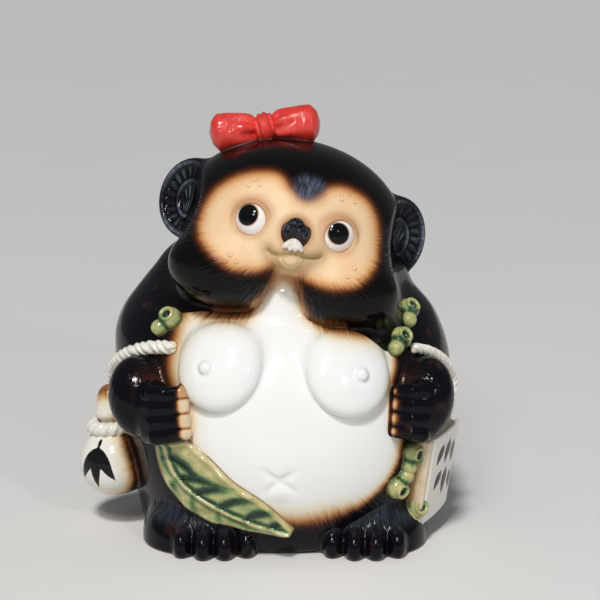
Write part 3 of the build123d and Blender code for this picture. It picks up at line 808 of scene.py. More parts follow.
white_outline = rounded(
    [
        (-50, 113), (-54, 101), (-55.5, 92), (-54, 84), (-50, 77), (-48, 69), (-48, 60), (-45, 50),
        (-38, 39), (-25, 28), (-9, 21), (5, 18.6), (17, 20), (28, 23), (36, 26), (42, 29.5), (48, 35),
        (52, 41), (55, 49), (56, 57), (54, 66), (51.5, 76), (51, 84), (53, 91), (52.5, 99), (50, 109),
        (42, 119), (24, 133), (0, 142), (-24, 133), (-42, 121),
    ]
)


def body_paint(p):
    """The body's painted values: the white front, and the fringe of the head's fur on the chest."""
    x, y, z = p.T
    # The last term widens the brown fade towards the bottom: partly airbrush, partly painted shade where the
    # belly curves under.
    gain = 1.45 + 0.9 * ease(x, 20, 44) - 0.25 * ease(-x, 20, 44) - 0.55 * (1 - ease(z, 24, 46))
    edge = np.maximum(outline_distance(p[:, [0, 2]], white_outline), (y + 27) * 0.8) * gain
    gap = head_mass(p)
    middle = ease(np.abs(x - 1.0), 6, 24)
    tuft = (3.8 - gap * 1.05) * middle + (-3 - gap * 1.5) * (1 - middle)
    back = ease(y, -45, -20)
    low = 1 - ease(z, 40, 56)
    return {
        "reach": 0.35 + 2.3 * low * ease(x, -5, 25) + 1.0 * ease(z, 98, 112),
        "edge": np.clip(edge, -30, 30),
        "flow": radial_flow(p, (0, -5, 74), (0, -1, 0), 62),
        "tuft": np.clip(tuft, -30, 30) * (1 - back) - 30 * back,
        "tuft_flow": radial_flow(p, head_world(0, 0, 0), -head_back - 0.3 * head_up, 52),
        "fur": ease(edge, -3, 2) * (1 - ease(edge, 8, 24)) * (0.2 + 0.7 * low),
        "rub": np.full(len(p), 0.35),
        "painted_sheen": np.zeros(len(p)),
    }


modelled(
    "body_clay", body_worked, ((-86, -84, 0), (86, 75, 149)), 1.26, body_finish,
    ("body_front_shell", "body_back_shell"), body_paint,
)


# Head.


def eye_socket(p, seat):
    """The soft lid round an eye, and the shallow round pocket that holds it."""
    x, y, z = seat.local(p).T
    flat = np.hypot(x, y)
    lid = np.hypot(flat - eye_radius - 0.6, z + 0.1) - 1.1
    return lid, np.maximum(flat - eye_radius + 0.35, -(z + 1.9))


mouth_upper = rounded(
    [
        (-10.4, -15.2), (-8.4, -16.3), (-5.6, -16.5), (-2.6, -15.8), (0.8, -14.9), (4.0, -15.0), (7.2, -15.3),
        (10.4, -15.0), (13.8, -13.9),
    ],
    3, False,
)
mouth_lower = rounded(
    [
        (-7.3, -17.5), (-5.8, -19.3), (-3.7, -21.1), (-1.2, -22.2), (1.3, -22.5), (3.7, -21.2), (5.4, -19.1),
        (6.8, -16.4),
    ],
    3, False,
)
lip_curl = rounded([(-3.6, -17.3), (-2.4, -19.2), (0.3, -20.4), (3.0, -19.2), (4.5, -16.6)], 4, False)
under_lip = oval((7.4, 5.6, 4.6), head_place(0.0, -55.6, -18.2, (0, 0, 1), (1, 0, 0.1)))
whisker_spots = [
    head_world(*v)
    for v in (
        (-22.2, -44.9, 16.4), (-24.9, -45.2, 13.3), (-20.0, -47.0, 14.2), (22.0, -44.2, 17.7),
        (18.6, -47.1, 15.1), (25.0, -44.3, 14.9), (-27.6, -40.9, -20.4), (-29.5, -37.0, -23.8),
        (-24.3, -40.0, -23.0), (30.1, -41.5, -15.7), (28.1, -40.5, -20.1), (32.7, -37.5, -19.7),
    )
]


def head_solid(p):
    """The head before its face is worked: what the nose and the bumps sit on."""
    return join(head_mass(p), muzzle(p), 8.0)


def head_worked(p):
    """The head with its face: the lip, the drawn line of the mouth and the eyes' sockets."""
    f = join(head_solid(p), under_lip(p), 2.5)
    q = head_local(p)
    x, y, z = q.T
    near = (y < -40) & (np.abs(x) < 16) & (np.abs(z + 17) < 9)
    f = f + 1.0 * drawn(q, mouth_upper, 0.9, near) + 0.35 * drawn(q, mouth_lower, 0.9, near)
    f = f + 0.3 * drawn(q, lip_curl, 0.6, near)
    for seat in eye_seats.values():
        lid, pocket = eye_socket(p, seat)
        f = np.maximum(join(f, lid, 1.5), -pocket)
    return f


face_outline = rounded(
    [
        (-44.8, -8.5), (-42, 4.5), (-35.4, 13.2), (-26, 18.8), (-16, 21.2), (-10.2, 19.8), (-5.2, 15),
        (1.6, 11.6), (7.8, 14), (12.2, 18.6), (19.6, 20.6), (29.8, 17.8), (35.8, 12.2), (39.5, 4.4),
        (41, -4.6), (40.2, -13.5), (33, -23.6), (21, -27.2), (11, -25.8), (6.4, -25.8), (6.9, -30),
        (9.6, -36), (13, -44), (-12, -44), (-8.6, -36), (-6.0, -30), (-5.4, -25.5), (-7.4, -22.6),
        (-14.2, -25.8), (-24.9, -26.8), (-33, -23.4), (-41.2, -17.4),
    ]
)


def face_paint(p):
    """The face's painted values, from the outside edge of the tan inwards to the mouth."""
    q = head_local(p)
    x, y, z = q.T
    aside, part = np.abs(x - 0.5), chin_part(q)
    edge = np.maximum(outline_distance(q[:, [0, 2]], face_outline), (y + 18) * 0.8)
    edge = np.where(edge < 0, edge, edge * 1.15)
    lower = 1 - ease(z, -6, 8)
    # A painted bluish sheen on the brow's peak, standing in for a highlight.
    peak = ((x - 3.4) / 8.0) ** 2 + ((z - 16.0) / 6.5) ** 2
    painted_sheen = 0.95 * bell(peak, 1.0) * (y < 0)
    near = (y < -38) & (np.abs(x) < 18) & (np.abs(z + 17) < 11)
    olive = np.maximum.reduce([
        0.9 * drawn(q, mouth_upper, 1.1, near), 0.65 * drawn(q, mouth_upper + (0, 0.9), 2.8, near),
        0.5 * drawn(q, mouth_lower, 1.6, near), 0.55 * drawn(q, lip_curl, 0.6, near),
    ])
    blush = np.zeros(len(p))
    for seat in eye_seats.values():
        away = np.linalg.norm(p - seat.origin, axis=1)
        above = ease((p - seat.origin) @ seat.axes[1].astype(p.dtype), -4, 7)
        blush = np.maximum(blush, (0.35 + 0.3 * above) * (1 - ease(away, 8.4, 11.5 + 3 * above)))
    nose_away = np.linalg.norm((q - (0.4, -57, -5)) / (1.0, 1.2, 1.15), axis=1)
    blush = np.maximum(blush, 0.85 * (1 - ease(nose_away, 5.5, 10.5)) * ease(z, -15, -11))
    chin = np.linalg.norm((q - (0.8, -45, -26)) / (1.5, 1.8, 1.0), axis=1)
    blush = np.maximum(blush, 0.7 * (1 - ease(chin, 0.5, 5.5)))
    rim = body_solid(p) + 30 * ease(aside, 30, 44) + 30 * ease(y, -34, -24) + 30 * (1 - ease(part, -2, 1))
    combed_cheek = lower * (0.25 + 0.75 * (1 - ease(edge, 5, 15)))
    combed_brow = (1 - lower) * (1 - ease(edge, 2, 7)) * 0.5
    return {
        "edge": np.clip(edge, -30, 30),
        "flow": radial_flow(p, head_world(0, 0, -2), -head_back, 50),
        "chest": ease(-z, 26, 33) * (np.abs(x) < 20),
        "blush": blush,
        "rim": np.clip(rim, -5, 30),
        "fur": ease(edge, -2.5, 1.5) * (combed_cheek + combed_brow + painted_sheen) + bell(part, 2.5) * (z < -24),
        "reach": 0.55 + 1.0 * lower,
        "painted_sheen": painted_sheen,
        "olive": olive,
    }


def neck_softness(p):
    """The tufts end crisply on the chest; the sides and the back of the head run into the shoulders."""
    x, y, _ = head_local(p).T
    chin = 3.2 * (1 - ease(np.abs(x - 0.5), 3, 9))
    return 1.4 + chin + 16.0 * (1 - (1 - ease(np.abs(x), 31, 60)) * (1 - ease(y, -40, -8)))


head_field = laid_on(head_worked, lambda p: body_solid(p) + 25 * ease(p[:, 2], 130, 147), soft=neck_softness)
modelled(
    "head_clay", head_field, ((-84, -92, 72), (90, 78, 200)), 0.85, face_finish,
    ("head_front_shell", "head_back_shell", "muzzle", "lower_lip"), face_paint,
)


# Whisker bumps, set out by Geometry Nodes.

bump_radius, bump_seed = 0.0014, 7


def build_bump_tree():
    """A small dimpled bump on every point, turned outwards, each a little different in size."""
    tree = bpy.data.node_groups.new("whisker_bumps", "GeometryNodeTree")
    for key, kind, value in (
        ("Geometry", "Geometry", None), ("Radius", "Float", bump_radius), ("Flatness", "Float", 0.5),
        ("Dimple", "Float", 0.0005), ("Spread", "Float", 0.15), ("Seed", "Int", bump_seed),
        ("Finish", "Material", None),
    ):
        socket = tree.interface.new_socket(key, in_out="INPUT", socket_type="NodeSocket" + kind)
        if value is not None:
            socket.default_value = value
    tree.interface.new_socket("Geometry", in_out="OUTPUT", socket_type="NodeSocketGeometry")
    b = Bench(tree)
    put = b.nodes.new("NodeGroupInput").outputs
    ball = b.nodes.new("GeometryNodeMeshIcoSphere")
    ball.inputs["Subdivisions"].default_value = 4
    b.feed(ball.inputs["Radius"], put["Radius"])
    place = b.nodes.new("GeometryNodeInputPosition").outputs[0]
    parts = b.nodes.new("ShaderNodeSeparateXYZ")
    b.feed(parts.inputs[0], place)
    out = b.vector("LENGTH", b.vector("MULTIPLY", place, (1, 1, 0)))
    share = b.math("DIVIDE", out, b.times(put["Radius"], 0.62))
    hollow = b.times(b.minus(1.0, b.times(share, share), clamp=True), put["Dimple"])
    hollow = b.times(hollow, b.math("GREATER_THAN", parts.outputs[2], 0.0))
    shift = b.nodes.new("ShaderNodeCombineXYZ")
    sunk = b.times(parts.outputs[2], b.minus(put["Flatness"], 1.0))
    b.feed(shift.inputs[2], b.minus(sunk, hollow))
    shaped = b.nodes.new("GeometryNodeSetPosition")
    b.feed(shaped.inputs["Geometry"], ball.outputs["Mesh"])
    b.feed(shaped.inputs["Offset"], shift.outputs[0])
    facing = b.nodes.new("GeometryNodeInputNamedAttribute")
    facing.data_type = "FLOAT_VECTOR"
    facing.inputs["Name"].default_value = "outward"
    turned = b.nodes.new("FunctionNodeAlignRotationToVector")
    turned.axis = "Z"
    b.feed(turned.inputs["Vector"], facing.outputs["Attribute"])
    sizes = b.nodes.new("FunctionNodeRandomValue")
    sizes.data_type = "FLOAT"
    b.feed(sizes.inputs[2], b.minus(1.0, put["Spread"]))
    b.feed(sizes.inputs[3], b.plus(1.0, put["Spread"]))
    b.feed(sizes.inputs["Seed"], put["Seed"])
    placed = b.nodes.new("GeometryNodeInstanceOnPoints")
    b.feed(placed.inputs["Points"], put["Geometry"])
    b.feed(placed.inputs["Instance"], shaped.outputs[0])
    b.feed(placed.inputs["Rotation"], turned.outputs[0])
    b.feed(placed.inputs["Scale"], sizes.outputs[1])
    real = b.nodes.new("GeometryNodeRealizeInstances")
    b.feed(real.inputs[0], placed.outputs[0])
    finish = b.nodes.new("GeometryNodeSetMaterial")
    b.feed(finish.inputs["Geometry"], real.outputs[0])
    b.feed(finish.inputs["Material"], put["Finish"])
    b.feed(b.nodes.new("NodeGroupOutput").inputs[0], finish.outputs[0])
    return tree


def put_out_bumps():
    """Finds the head's face in front of each spot, and sets a bump there."""
    spots = np.array(whisker_spots, np.float32)
    depths = np.arange(-76, -24, 0.2)
    for spot in spots:
        across, _, up = head_local(spot[None])[0]
        column = np.array([head_world(across, depth, up) for depth in depths], np.float32)
        spot[:] = column[np.argmax(head_solid(column) < 0)]
    nudges = 0.1 * np.eye(3, dtype=np.float32)
    for _ in range(2):
        slope = np.stack(
            [(head_solid(spots + nudge) - head_solid(spots - nudge)) / 0.2 for nudge in nudges], 1
        )
        slope /= np.linalg.norm(slope, axis=1, keepdims=True)
        spots = spots - slope * head_solid(spots)[:, None]
    mesh = bpy.data.meshes.new("whisker_points")
    mesh.from_pydata(((spots + slope * 0.1) * MM).tolist(), [], [])
    outward = mesh.attributes.new("outward", "FLOAT_VECTOR", "POINT")
    outward.data.foreach_set("vector", slope.astype(np.float32).ravel())
    source = bpy.data.objects.new("whisker_points", mesh)
    scene.collection.objects.link(source)
    tree = build_bump_tree()
    modifier = source.modifiers.new("bumps", "NODES")
    modifier.node_group = tree
    known = {item.name: item.identifier for item in tree.interface.items_tree if item.in_out == "INPUT"}
    modifier[known["Radius"]] = bump_radius
    modifier[known["Seed"]] = bump_seed
    modifier[known["Finish"]] = face_finish[0]
    evaluated = source.evaluated_get(bpy.context.evaluated_depsgraph_get())
    made = bpy.data.meshes.new_from_object(evaluated)
    source.modifiers.remove(modifier)
    bpy.data.objects.remove(source)
    points = np.empty(len(made.vertices) * 3, np.float32)
    made.vertices.foreach_get("co", points)
    points = points.reshape(-1, 3) / MM
    faces = np.array([tuple(face.vertices) for face in made.polygons])
    bpy.data.meshes.remove(made)
    put_down("whisker_bumps", points, faces, face_finish, (), face_paint(points))


put_out_bumps()


# Ears.

ear_shares = {"left": (-0.915, 0.02, 0.07), "right": (0.918, 0.02, 0.08)}
ear_turn = math.radians(40)


def ear_seat(side_name):
    """An ear's place on the side of the head, turned towards the front."""
    across, back, up = ear_shares[side_name]
    side = -1 if across < 0 else 1
    return head_place(
        across * head_half[0], back * head_half[1], up * head_half[2],
        (side * math.sin(ear_turn), -math.cos(ear_turn), 0),
        (math.cos(ear_turn), side * math.sin(ear_turn), 0),
    )


ear_profile = rounded(
    [
        (-2, -2.4), (0, -2.4), (5, -2.1), (7.6, -0.8), (9.0, 0.6), (10.6, -0.3), (12.2, -0.5), (15.8, 0.5),
        (17.4, 1.9), (18.8, 2.5), (20.0, 2.0), (21, 0.6),
    ],
    5, False,
)


def ear_reading(p, seat):
    """In the ear's own directions: height, radius, turn, and the strokes of the ledge and of the hair."""
    x, y, z = seat.local(p).T
    r, turn = np.hypot(x, y), np.arctan2(y, x)
    return z, r, turn, np.cos(turn * 21 + r * 0.35), np.sin(np.arctan2(x, y + 12) * 34)


def ear_form(seat):
    """A round dish: a rolled rim, a combed ledge, an inner ridge and a bowl whose hair fans upward."""

    def field(p):
        z, r, _, ledge, hair = ear_reading(p, seat)
        top = np.interp(r, ear_profile[:, 0], ear_profile[:, 1])
        top = top + 0.34 * ledge * ease(r, 9.6, 12.4) * (1 - ease(r, 15.0, 17.8))
        top = top + 0.28 * hair * (1 - ease(r, 5.8, 8.2))
        back = -3.0 - 2.8 * np.sqrt(np.maximum(1 - (r / 21.5) ** 2, 0))
        return common(common((z - top) * 0.85, back - z, 1.5), r - 20.6, 2.4)

    return field


def ear_paint(p, seat):
    """A painted bluish sheen along the rim, the ridge and the combed hair, standing in for highlights."""
    z, r, turn, ledge, hair = ear_reading(p, seat)
    ledge = (0.5 + 0.5 * ledge) * ease(r, 10.2, 12.4) * (1 - ease(r, 15.0, 17.4))
    hair = (0.5 + 0.5 * hair) * (1 - ease(r, 5.8, 8.2))
    painted_sheen = 0.9 * bell(r - 18.0, 0.8) + 0.9 * bell(r - 9.0, 0.7) + 0.40 * ledge**2 + 0.85 * hair**2
    painted_sheen = painted_sheen * (z > -1.6) * (0.55 + 0.45 * np.sin(turn * 3 + 1.0))
    strokes = radial_flow(p, seat.world((0, 0, -12)), seat.axes[2], 22)
    return plain_paint(p, 12.0, strokes, 0.1, 0.1, 2.0, painted_sheen)


for side_name in ear_shares:
    seat = ear_seat(side_name)
    modelled(
        f"ear_clay_{side_name}", laid_on(ear_form(seat), lambda p: join(head_mass(p), body_solid(p)), 4.0),
        around(seat.origin, 26), 0.5, limb_finish, (f"ear_{side_name}",),
        lambda p, seat=seat: ear_paint(p, seat),
    )


# Eyes, nose and teeth.


def eye_form(seat):
    """A shallow round button with a domed face."""

    def field(p):
        x, y, z = seat.local(p).T
        flat = np.hypot(x, y)
        dome = np.hypot(flat, z - (eye_bulge - eye_ball)) - eye_ball
        return common(np.maximum(flat - eye_radius, -(z + 1.6)), dome, 0.6)

    return field


def build_eye_finish():
    """White slip with a round black pupil, under a clear thick glaze."""
    material, b, place = new_finish("eye_glaze_finish")
    pupil = b.painted("pupil")
    colour = b.mix(b.between(b.painted("rim"), 0.0, 0.7), eye_edge, eye_white)
    colour = b.mix(b.between(pupil, 0.9, 0.1), colour, pupil_edge)
    colour = b.mix(b.between(pupil, 0.25, -0.15), colour, pupil_black)
    skin = b.group(glaze_skin, Place=place, Swell=0.03, Pit=0.004)
    finish_surface(b, colour, skin["Height"], haze_roughness(b, skin, 0.04, 0.08), 0.15, 0.15)
    return material


eye_finish = build_eye_finish(), "eye_glaze"
pupil_radius = 4.8
pupil_places = {"left": (-1.0, 2.1), "right": (-1.5, 1.4)}
for side_name, seat in eye_seats.items():

    def eye_paint(p, seat=seat, spot=pupil_places[side_name]):
        x, y, _ = seat.local(p).T
        off_spot = np.hypot(x - spot[0], y - spot[1])
        return {"pupil": off_spot - pupil_radius, "rim": eye_radius - np.hypot(x, y)}

    modelled(
        f"eye_{side_name}_ball", eye_form(seat), around(seat.origin, 10), 0.3, eye_finish,
        (f"eye_{side_name}",), eye_paint,
    )


nose_pad = oval((4.8, 4.8, 5.2), head_place(-0.1, -59.0, -2.9, (0, 0, 1)))
nose_wings = [
    oval((2.1, 3.8, 4.6), head_place(-3.6, -58.2, -6.2, (-0.15, 0, 1), (1, 0, 0.15))),
    oval((2.2, 3.8, 5.6), head_place(4.4, -58.2, -6.4, (0.30, 0, 1), (1, 0, -0.30))),
]
nostrils = [
    oval((1.2, 2.4, 1.1), head_place(side * 2.1, -63.4, -2.2, (0, 0, 1), (1, 0, side * 0.5)))
    for side in (-1, 1)
]
nose_notch = roll_between(head_world(-0.1, -64.2, 0.5), head_world(0.2, -62.5, -9), 0.3, 2.6)


def nose_form(p):
    """A round pad with two wings, two nostrils and a notch between them."""
    f = joined([nose_pad, *nose_wings], p, 2.0)
    for nostril in nostrils:
        f = carve(f, nostril(p), 1.0)
    return carve(f, nose_notch(p), 1.2)


def build_nose_finish():
    """Black glaze that breaks to a dull grey in streaks."""
    material, b, place = new_finish("nose_glaze_finish")
    streak = b.noise(place, 0.5, 4.0, 0.6, 0.6)
    colour = b.mix(b.between(streak, 0.42, 0.66), nose_black, nose_grey)
    colour = b.mix(b.between(b.painted("edge"), 2.0, 0.3), colour, nose_foot)
    skin = b.group(glaze_skin, Place=place, Swell=0.1, Pit=0.05)
    finish_surface(b, colour, skin["Height"], b.between(streak, 0.3, 0.7, 0.12, 0.3), specular=0.25)
    return material


nose_finish = build_nose_finish(), "body_glaze"
modelled(
    "nose_clay", laid_on(nose_form, head_solid, 1.2, 0.1), around(head_world(0, -60, -4), 14), 0.35,
    nose_finish, ("nose",), lambda p: {"edge": head_solid(p)},
)


def tooth_form(lean):
    """A small tooth that hangs from the nose at a lean in degrees; the outer ones are longer."""
    t = math.radians(lean)
    aside, down = math.sin(t), math.cos(t)
    half = 2.7 / down**0.6
    place = head_place(0.3 + half * aside, -61.8, -7.9 - half * down, (aside, -0.1, -down), (down, 0, aside))
    return oval((1.5, 1.25, half + 0.3), place)


tooth_forms = [tooth_form(lean) for lean in (-44, -15, 15, 44)]


def build_tooth_finish():
    """White slip with a little brown in it."""
    material, b, place = new_finish("tooth_glaze_finish")
    colour = b.mix(b.between(b.noise(place, 0.8, 3.0), 0.4, 0.7), tooth_white, tooth_brown)
    skin = b.group(glaze_skin, Place=place, Swell=0.03, Pit=0.01)
    finish_surface(b, colour, skin["Height"], haze_roughness(b, skin, 0.10, 0.18))
    return material


tooth_finish = build_tooth_finish(), "white_glaze"
modelled(
    "teeth_clay", lambda p: np.minimum.reduce([tooth(p) for tooth in tooth_forms]),
    around(head_world(0, -63, -10.5), 8), 0.28, tooth_finish, ("teeth",), lambda p: {},
)


# Bow.

bow_share = np.array([-0.37, -0.14, 0])
bow_share[2] = math.sqrt(1 - bow_share @ bow_share)
bow_up = unit(bow_share / head_half)
bow_seat = head_place(*(bow_share * head_half + bow_up * 5.2), bow_up, np.cross((0, 1, 0), bow_up))
# Along each loop: the share of its length, and of its height and depth there.
loop_shares = np.array([
    (0.0, 0.80, 0.72), (0.25, 0.88, 0.86), (0.6, 1.0, 1.0),
    (0.8, 1.0, 0.95), (0.93, 0.77, 0.70), (1.0, 0.38, 0.32),
])
loop_start, loop_end, loop_height, loop_depth = 4.6, 27.6, 9.2, 8.5


def loop_form(side):
    """One loop: narrow and folded at the knot, full towards its rounded end."""

    def field(p):
        x, y, z = bow_seat.local(p).T
        s = side * x
        share = np.clip((s - loop_start) / (loop_end - loop_start), 0, 1)
        high = np.interp(share, loop_shares[:, 0], loop_shares[:, 1]) * loop_height
        deep = np.interp(share, loop_shares[:, 0], loop_shares[:, 2]) * loop_depth
        k0 = np.hypot(y / deep, z / high)
        f = k0 * (k0 - 1) / (np.hypot(y / deep**2, z / high**2) + 1e-9)
        fold = np.sin(np.arctan2(z, y) * 6 + share * 3 + side) * 0.7 * (1 - ease(share, 0.10, 0.72))
        dent = 0.9 * bell(share - 0.45, 0.22) * bell(z - 3.0, 3.0) * (y < 0)
        return common(f + fold + dent, np.maximum(s - loop_end, 3.0 - s), 6.0)

    return field


knot_oval = oval((6.4, 8.0, 7.6), bow_seat)


def knot_form(p):
    """A round knot with shallow upright creases."""
    x, _, z = bow_seat.local(p).T
    return knot_oval(p) + 0.35 * np.cos(x * 2.1 + z * 0.4)


def build_red_finish():
    """Bright red overglaze enamel, deeper where it pools in the folds."""
    material, b, place = new_finish("red_glaze_finish")
    cloud = b.noise(place, 0.16, 3.0, 0.55)
    colour = b.mix(b.between(cloud, 0.35, 0.7), light_red, full_red)
    colour = b.mix(b.between(b.painted("edge"), 1.8, 0.2), colour, pooled_red)
    crackle = b.noise(place, 0.9, 5.0, 0.7, 0.4)
    skin = b.group(glaze_skin, Place=place, Swell=0.35, Pit=0.05)
    height = b.plus(skin["Height"], b.times(crackle, 0.5))
    finish_surface(b, colour, height, b.between(crackle, 0.3, 0.7, 0.06, 0.16), 0.5)
    return material


red_finish = build_red_finish(), "red_glaze"


def bow_paint(p):
    """How far the red lies above the head, where it pools."""
    return {"edge": head_mass(p)}


for side_name, side in sides.items():
    modelled(
        f"bow_loop_clay_{side_name}", laid_on(loop_form(side), head_mass, 1.5), around(bow_seat.origin, 30),
        0.5, red_finish, (f"bow_loop_{side_name}",), bow_paint,
    )
modelled(
    "bow_knot_clay", laid_on(knot_form, head_mass, 1.5), around(bow_seat.origin, 12), 0.45, red_finish,
    ("bow_knot",), bow_paint,
)


# Arms and paws.

arm_seats = {"left": body_seat(-53, 0.505, 2.5, 18), "right": body_seat(51, 0.505, 2.5, -18)}
arm_ovals = {"left": oval((15, 20, 15), arm_seats["left"]), "right": oval((13.5, 20, 15), arm_seats["right"])}
palm_seats = {"left": body_seat(-44, 0.468, 5.0, 10), "right": body_seat(47.5, 0.468, 5.0, -10)}
finger_step = 7.1
finger_reach = {"left": 16.6, "right": 13.2}


def paw_form(side_name):
    """A palm and four fingers that close over the belly's edge."""
    side, seat = sides[side_name], palm_seats[side_name]
    palm = oval((11, 15, 8.5), seat)
    fingers = []
    for number in range(4):
        steps = number - 1.5
        rise, bend = steps * finger_step, -0.5 * steps
        spots = [
            (side * 2, rise, 2.6), (-side * 4.5, rise + bend * 0.3, 4.6), (-side * 10.0, rise + bend, 2.6),
            (-side * finger_reach[side_name], rise + bend, -3.2),
        ]
        fingers.append(chain([seat.world(v) for v in spots], [3.4, 4.0, 3.5, 2.9]))

    def field(p):
        soft = 1.0 + 4.2 * ease(-side * seat.local(p)[:, 0], 8, 14.5)
        return join(palm(p), joined(fingers, p, soft), 2.0)

    return field


for side_name, side in sides.items():
    seat, palm_seat = arm_seats[side_name], palm_seats[side_name]

    def arm_paint(p, seat=seat, side=side):
        flow = straight_flow(p, seat.axes[1] * 0.9 - side * seat.axes[0] * 0.45)
        edge = 3.5 + (seat.local(p)[:, 0] * side + 12) * 0.5
        return plain_paint(p, np.clip(edge, 1.6, 12), flow, 0.5, 0.4)

    modelled(
        f"arm_clay_{side_name}", laid_on(arm_ovals[side_name], body_solid, 4.0), around(seat.origin, 29), 0.7,
        limb_finish, (f"arm_{side_name}",), arm_paint,
    )

    def paw_paint(p, seat=palm_seat, side=side):
        # The tips are pale, with a brown line of painted shade in the grooves between the fingers; past the
        # right tips the belly stays white.
        x, y, z = seat.local(p).T
        tip = x * -side - (15.2 if side < 0 else 14.4)
        edge = np.clip(6.0 - np.maximum(tip, 0) * 4.5, -4.6 if side < 0 else 0.4, 12)
        between = np.abs((y + finger_step / 2) % finger_step - finger_step / 2)
        past = ease(tip, 1.2, 2.4) * (side > 0)
        gap = 4.2 * bell(between, 0.7) * ease(z, -5.6, -3.8)
        edge = edge + (gap + 2.6 * ease(y, 6.5, 9)) * (1 - past) - 9.0 * past
        return plain_paint(p, edge, straight_flow(p, seat.axes[0]), 0.15, 0.3, 1.0)

    modelled(
        f"paw_clay_{side_name}",
        laid_on(
            paw_form(side_name), lambda p, arm=arm_ovals[side_name]: join(body_solid(p), arm(p), 4.0), 2.5
        ),
        around(palm_seat.origin, 24), 0.5, limb_finish, (f"paw_{side_name}",), paw_paint,
    )


# Feet and tail.

foot_middles = {"left": -0.365 * body_half_width, "right": 0.455 * body_half_width}
foot_front = -0.575 * body_front_depth
toe_step = 9.4


def foot_form(side_name):
    """A haunch, a rounded instep and four toes."""
    middle, side = foot_middles[side_name], sides[side_name]
    across, outward = (1, 0, 0), (0, 0, 1)
    instep = oval((25, 22, 25), Seat((middle, foot_front, 2), across, outward))
    hip = (side * 0.54 * body_half_width, -0.46 * body_front_depth, 2)
    haunch = oval((25, 29, 27), Seat(hip, across, outward))
    toes = []
    for number in range(4):
        steps = number - 1.5
        spot = (middle + steps * toe_step - (3.5 if side < 0 else 0), foot_front - 17.5 + 1.7 * steps**2, 5.6)
        toes.append(oval((6.0, 12.6, 9.6), Seat(spot, (1, steps * 0.12, 0), outward)))

    def field(p):
        limb = join(joined([instep, haunch], p, 8.0), joined(toes, p, 0.7), 1.6)
        return common(limb, -p[:, 2], 1.5)

    return field


foot_fields = {name: foot_form(name) for name in sides}
for side_name, side in sides.items():
    middle = foot_middles[side_name]

    def foot_paint(p, middle=middle):
        _, y, z = p.T
        flow = radial_flow(p, (middle, foot_front + 14, 8), (0, 0, 1), 24)
        # A painted bluish sheen on the tops of the toes, where highlights fall.
        shine = ease(z, 11, 17) * (1 - ease(y, -52, -40))
        return plain_paint(p, 9.0 * ease(z, 0.3, 2.4), flow, ease(z, 11, 16), 0.35, 2.0, 0.13 * shine)

    box = (min(middle, side * 45) - 27, -78, 0), (max(middle, side * 45) + 27, 0, 31)
    modelled(
        f"foot_clay_{side_name}", laid_on(foot_fields[side_name], body_side, 3.0), box, 0.7, limb_finish,
        (f"foot_{side_name}",), foot_paint,
    )


tail_seat = body_seat(172, 0.27, 0, 10)
tail_oval = oval((24, 36, 13), tail_seat)


def tail_form(p):
    """A flat oval tail, combed lengthwise in waves."""
    x, y, z = tail_seat.local(p).T
    comb = 0.45 * np.sin(x * 1.15 + np.sin(y * 0.11) * 2.5) * ease(z, -2, 4)
    return common(tail_oval(p) + comb, -p[:, 2], 1.5)


tail_low, tail_high = around(tail_seat.origin, 40)
modelled(
    "tail_clay", laid_on(tail_form, body_side, 4.0), (np.maximum(tail_low, (-60, 0, 0)), tail_high), 0.8,
    limb_finish, ("tail",), lambda p: plain_paint(p, 9.0, straight_flow(p, tail_seat.axes[1]), 1.4, 0.8),
)


# Leaf over the belly.

leaf_lower = [(-62.6, 55.5), (-58.0, 35.5), (-42.8, 20.0), (-20.2, 15.2), (1.7, 11.5)]
leaf_upper = [(3.8, 16.0), (-9.2, 29.7), (-24.4, 40.3), (-35.3, 50.6), (-47.0, 59.2)]
leaf_outline = np.concatenate([rounded(leaf_lower, 6, False), rounded(leaf_upper, 6, False)])
leaf_rib = rounded(
    [(-58.0, 56.0), (-53.5, 42.0), (-43.5, 32.0), (-28.0, 24.0), (-11.0, 17.4), (3.0, 13.2)], 5, False
)


def side_veins():
    """Pairs of veins that leave the rib and lean towards the tip."""
    found = []
    for share in (0.10, 0.25, 0.40, 0.55, 0.70, 0.84):
        at = share * (len(leaf_rib) - 1)
        i = int(at)
        step = leaf_rib[i + 1] - leaf_rib[i]
        root, ahead = leaf_rib[i] + step * (at - i), unit(step)
        out = np.array([-ahead[1], ahead[0]])
        width = 17.0 * math.sin(math.pi * min(share + 0.12, 0.97)) ** 0.8
        for side in (1, -1):
            end = root + ahead * width * 0.95 + out * side * width * (0.95 if side > 0 else 0.72)
            bend = root + ahead * width * 0.36 + out * side * width * 0.55
            found.append(rounded([root, bend, end], 4, False))
    return found


leaf_veins = side_veins()


def leaf_reading(p):
    """Distances in the front view: to the edge, to the rib and to the nearest side vein."""
    q = p[:, [0, 2]].astype(np.float32)
    edge = outline_distance(q, leaf_outline)
    rib = line_distance(q, leaf_rib)
    vein = np.minimum.reduce([line_distance(q, line) for line in leaf_veins])
    return edge, rib, vein


def leaf_form(p):
    """A thin leaf on the belly: a raised rib, sunk veins, a rolled edge and a slight wave."""
    edge, rib, vein = leaf_reading(p)
    top = 2.2 + 1.3 * bell(rib, 1.1) - 0.55 * bell(vein, 0.7)
    top = top + 0.7 * bell(edge + 1.6, 1.3) + 0.5 * (1 - ease(rib, 0, 9))
    wave = 0.8 * np.sin((p[:, 0] - p[:, 2]) * 0.33) * ease(edge, -7, -1)
    return common(edge * 0.85, body_side(p) - top - wave, 1.6)


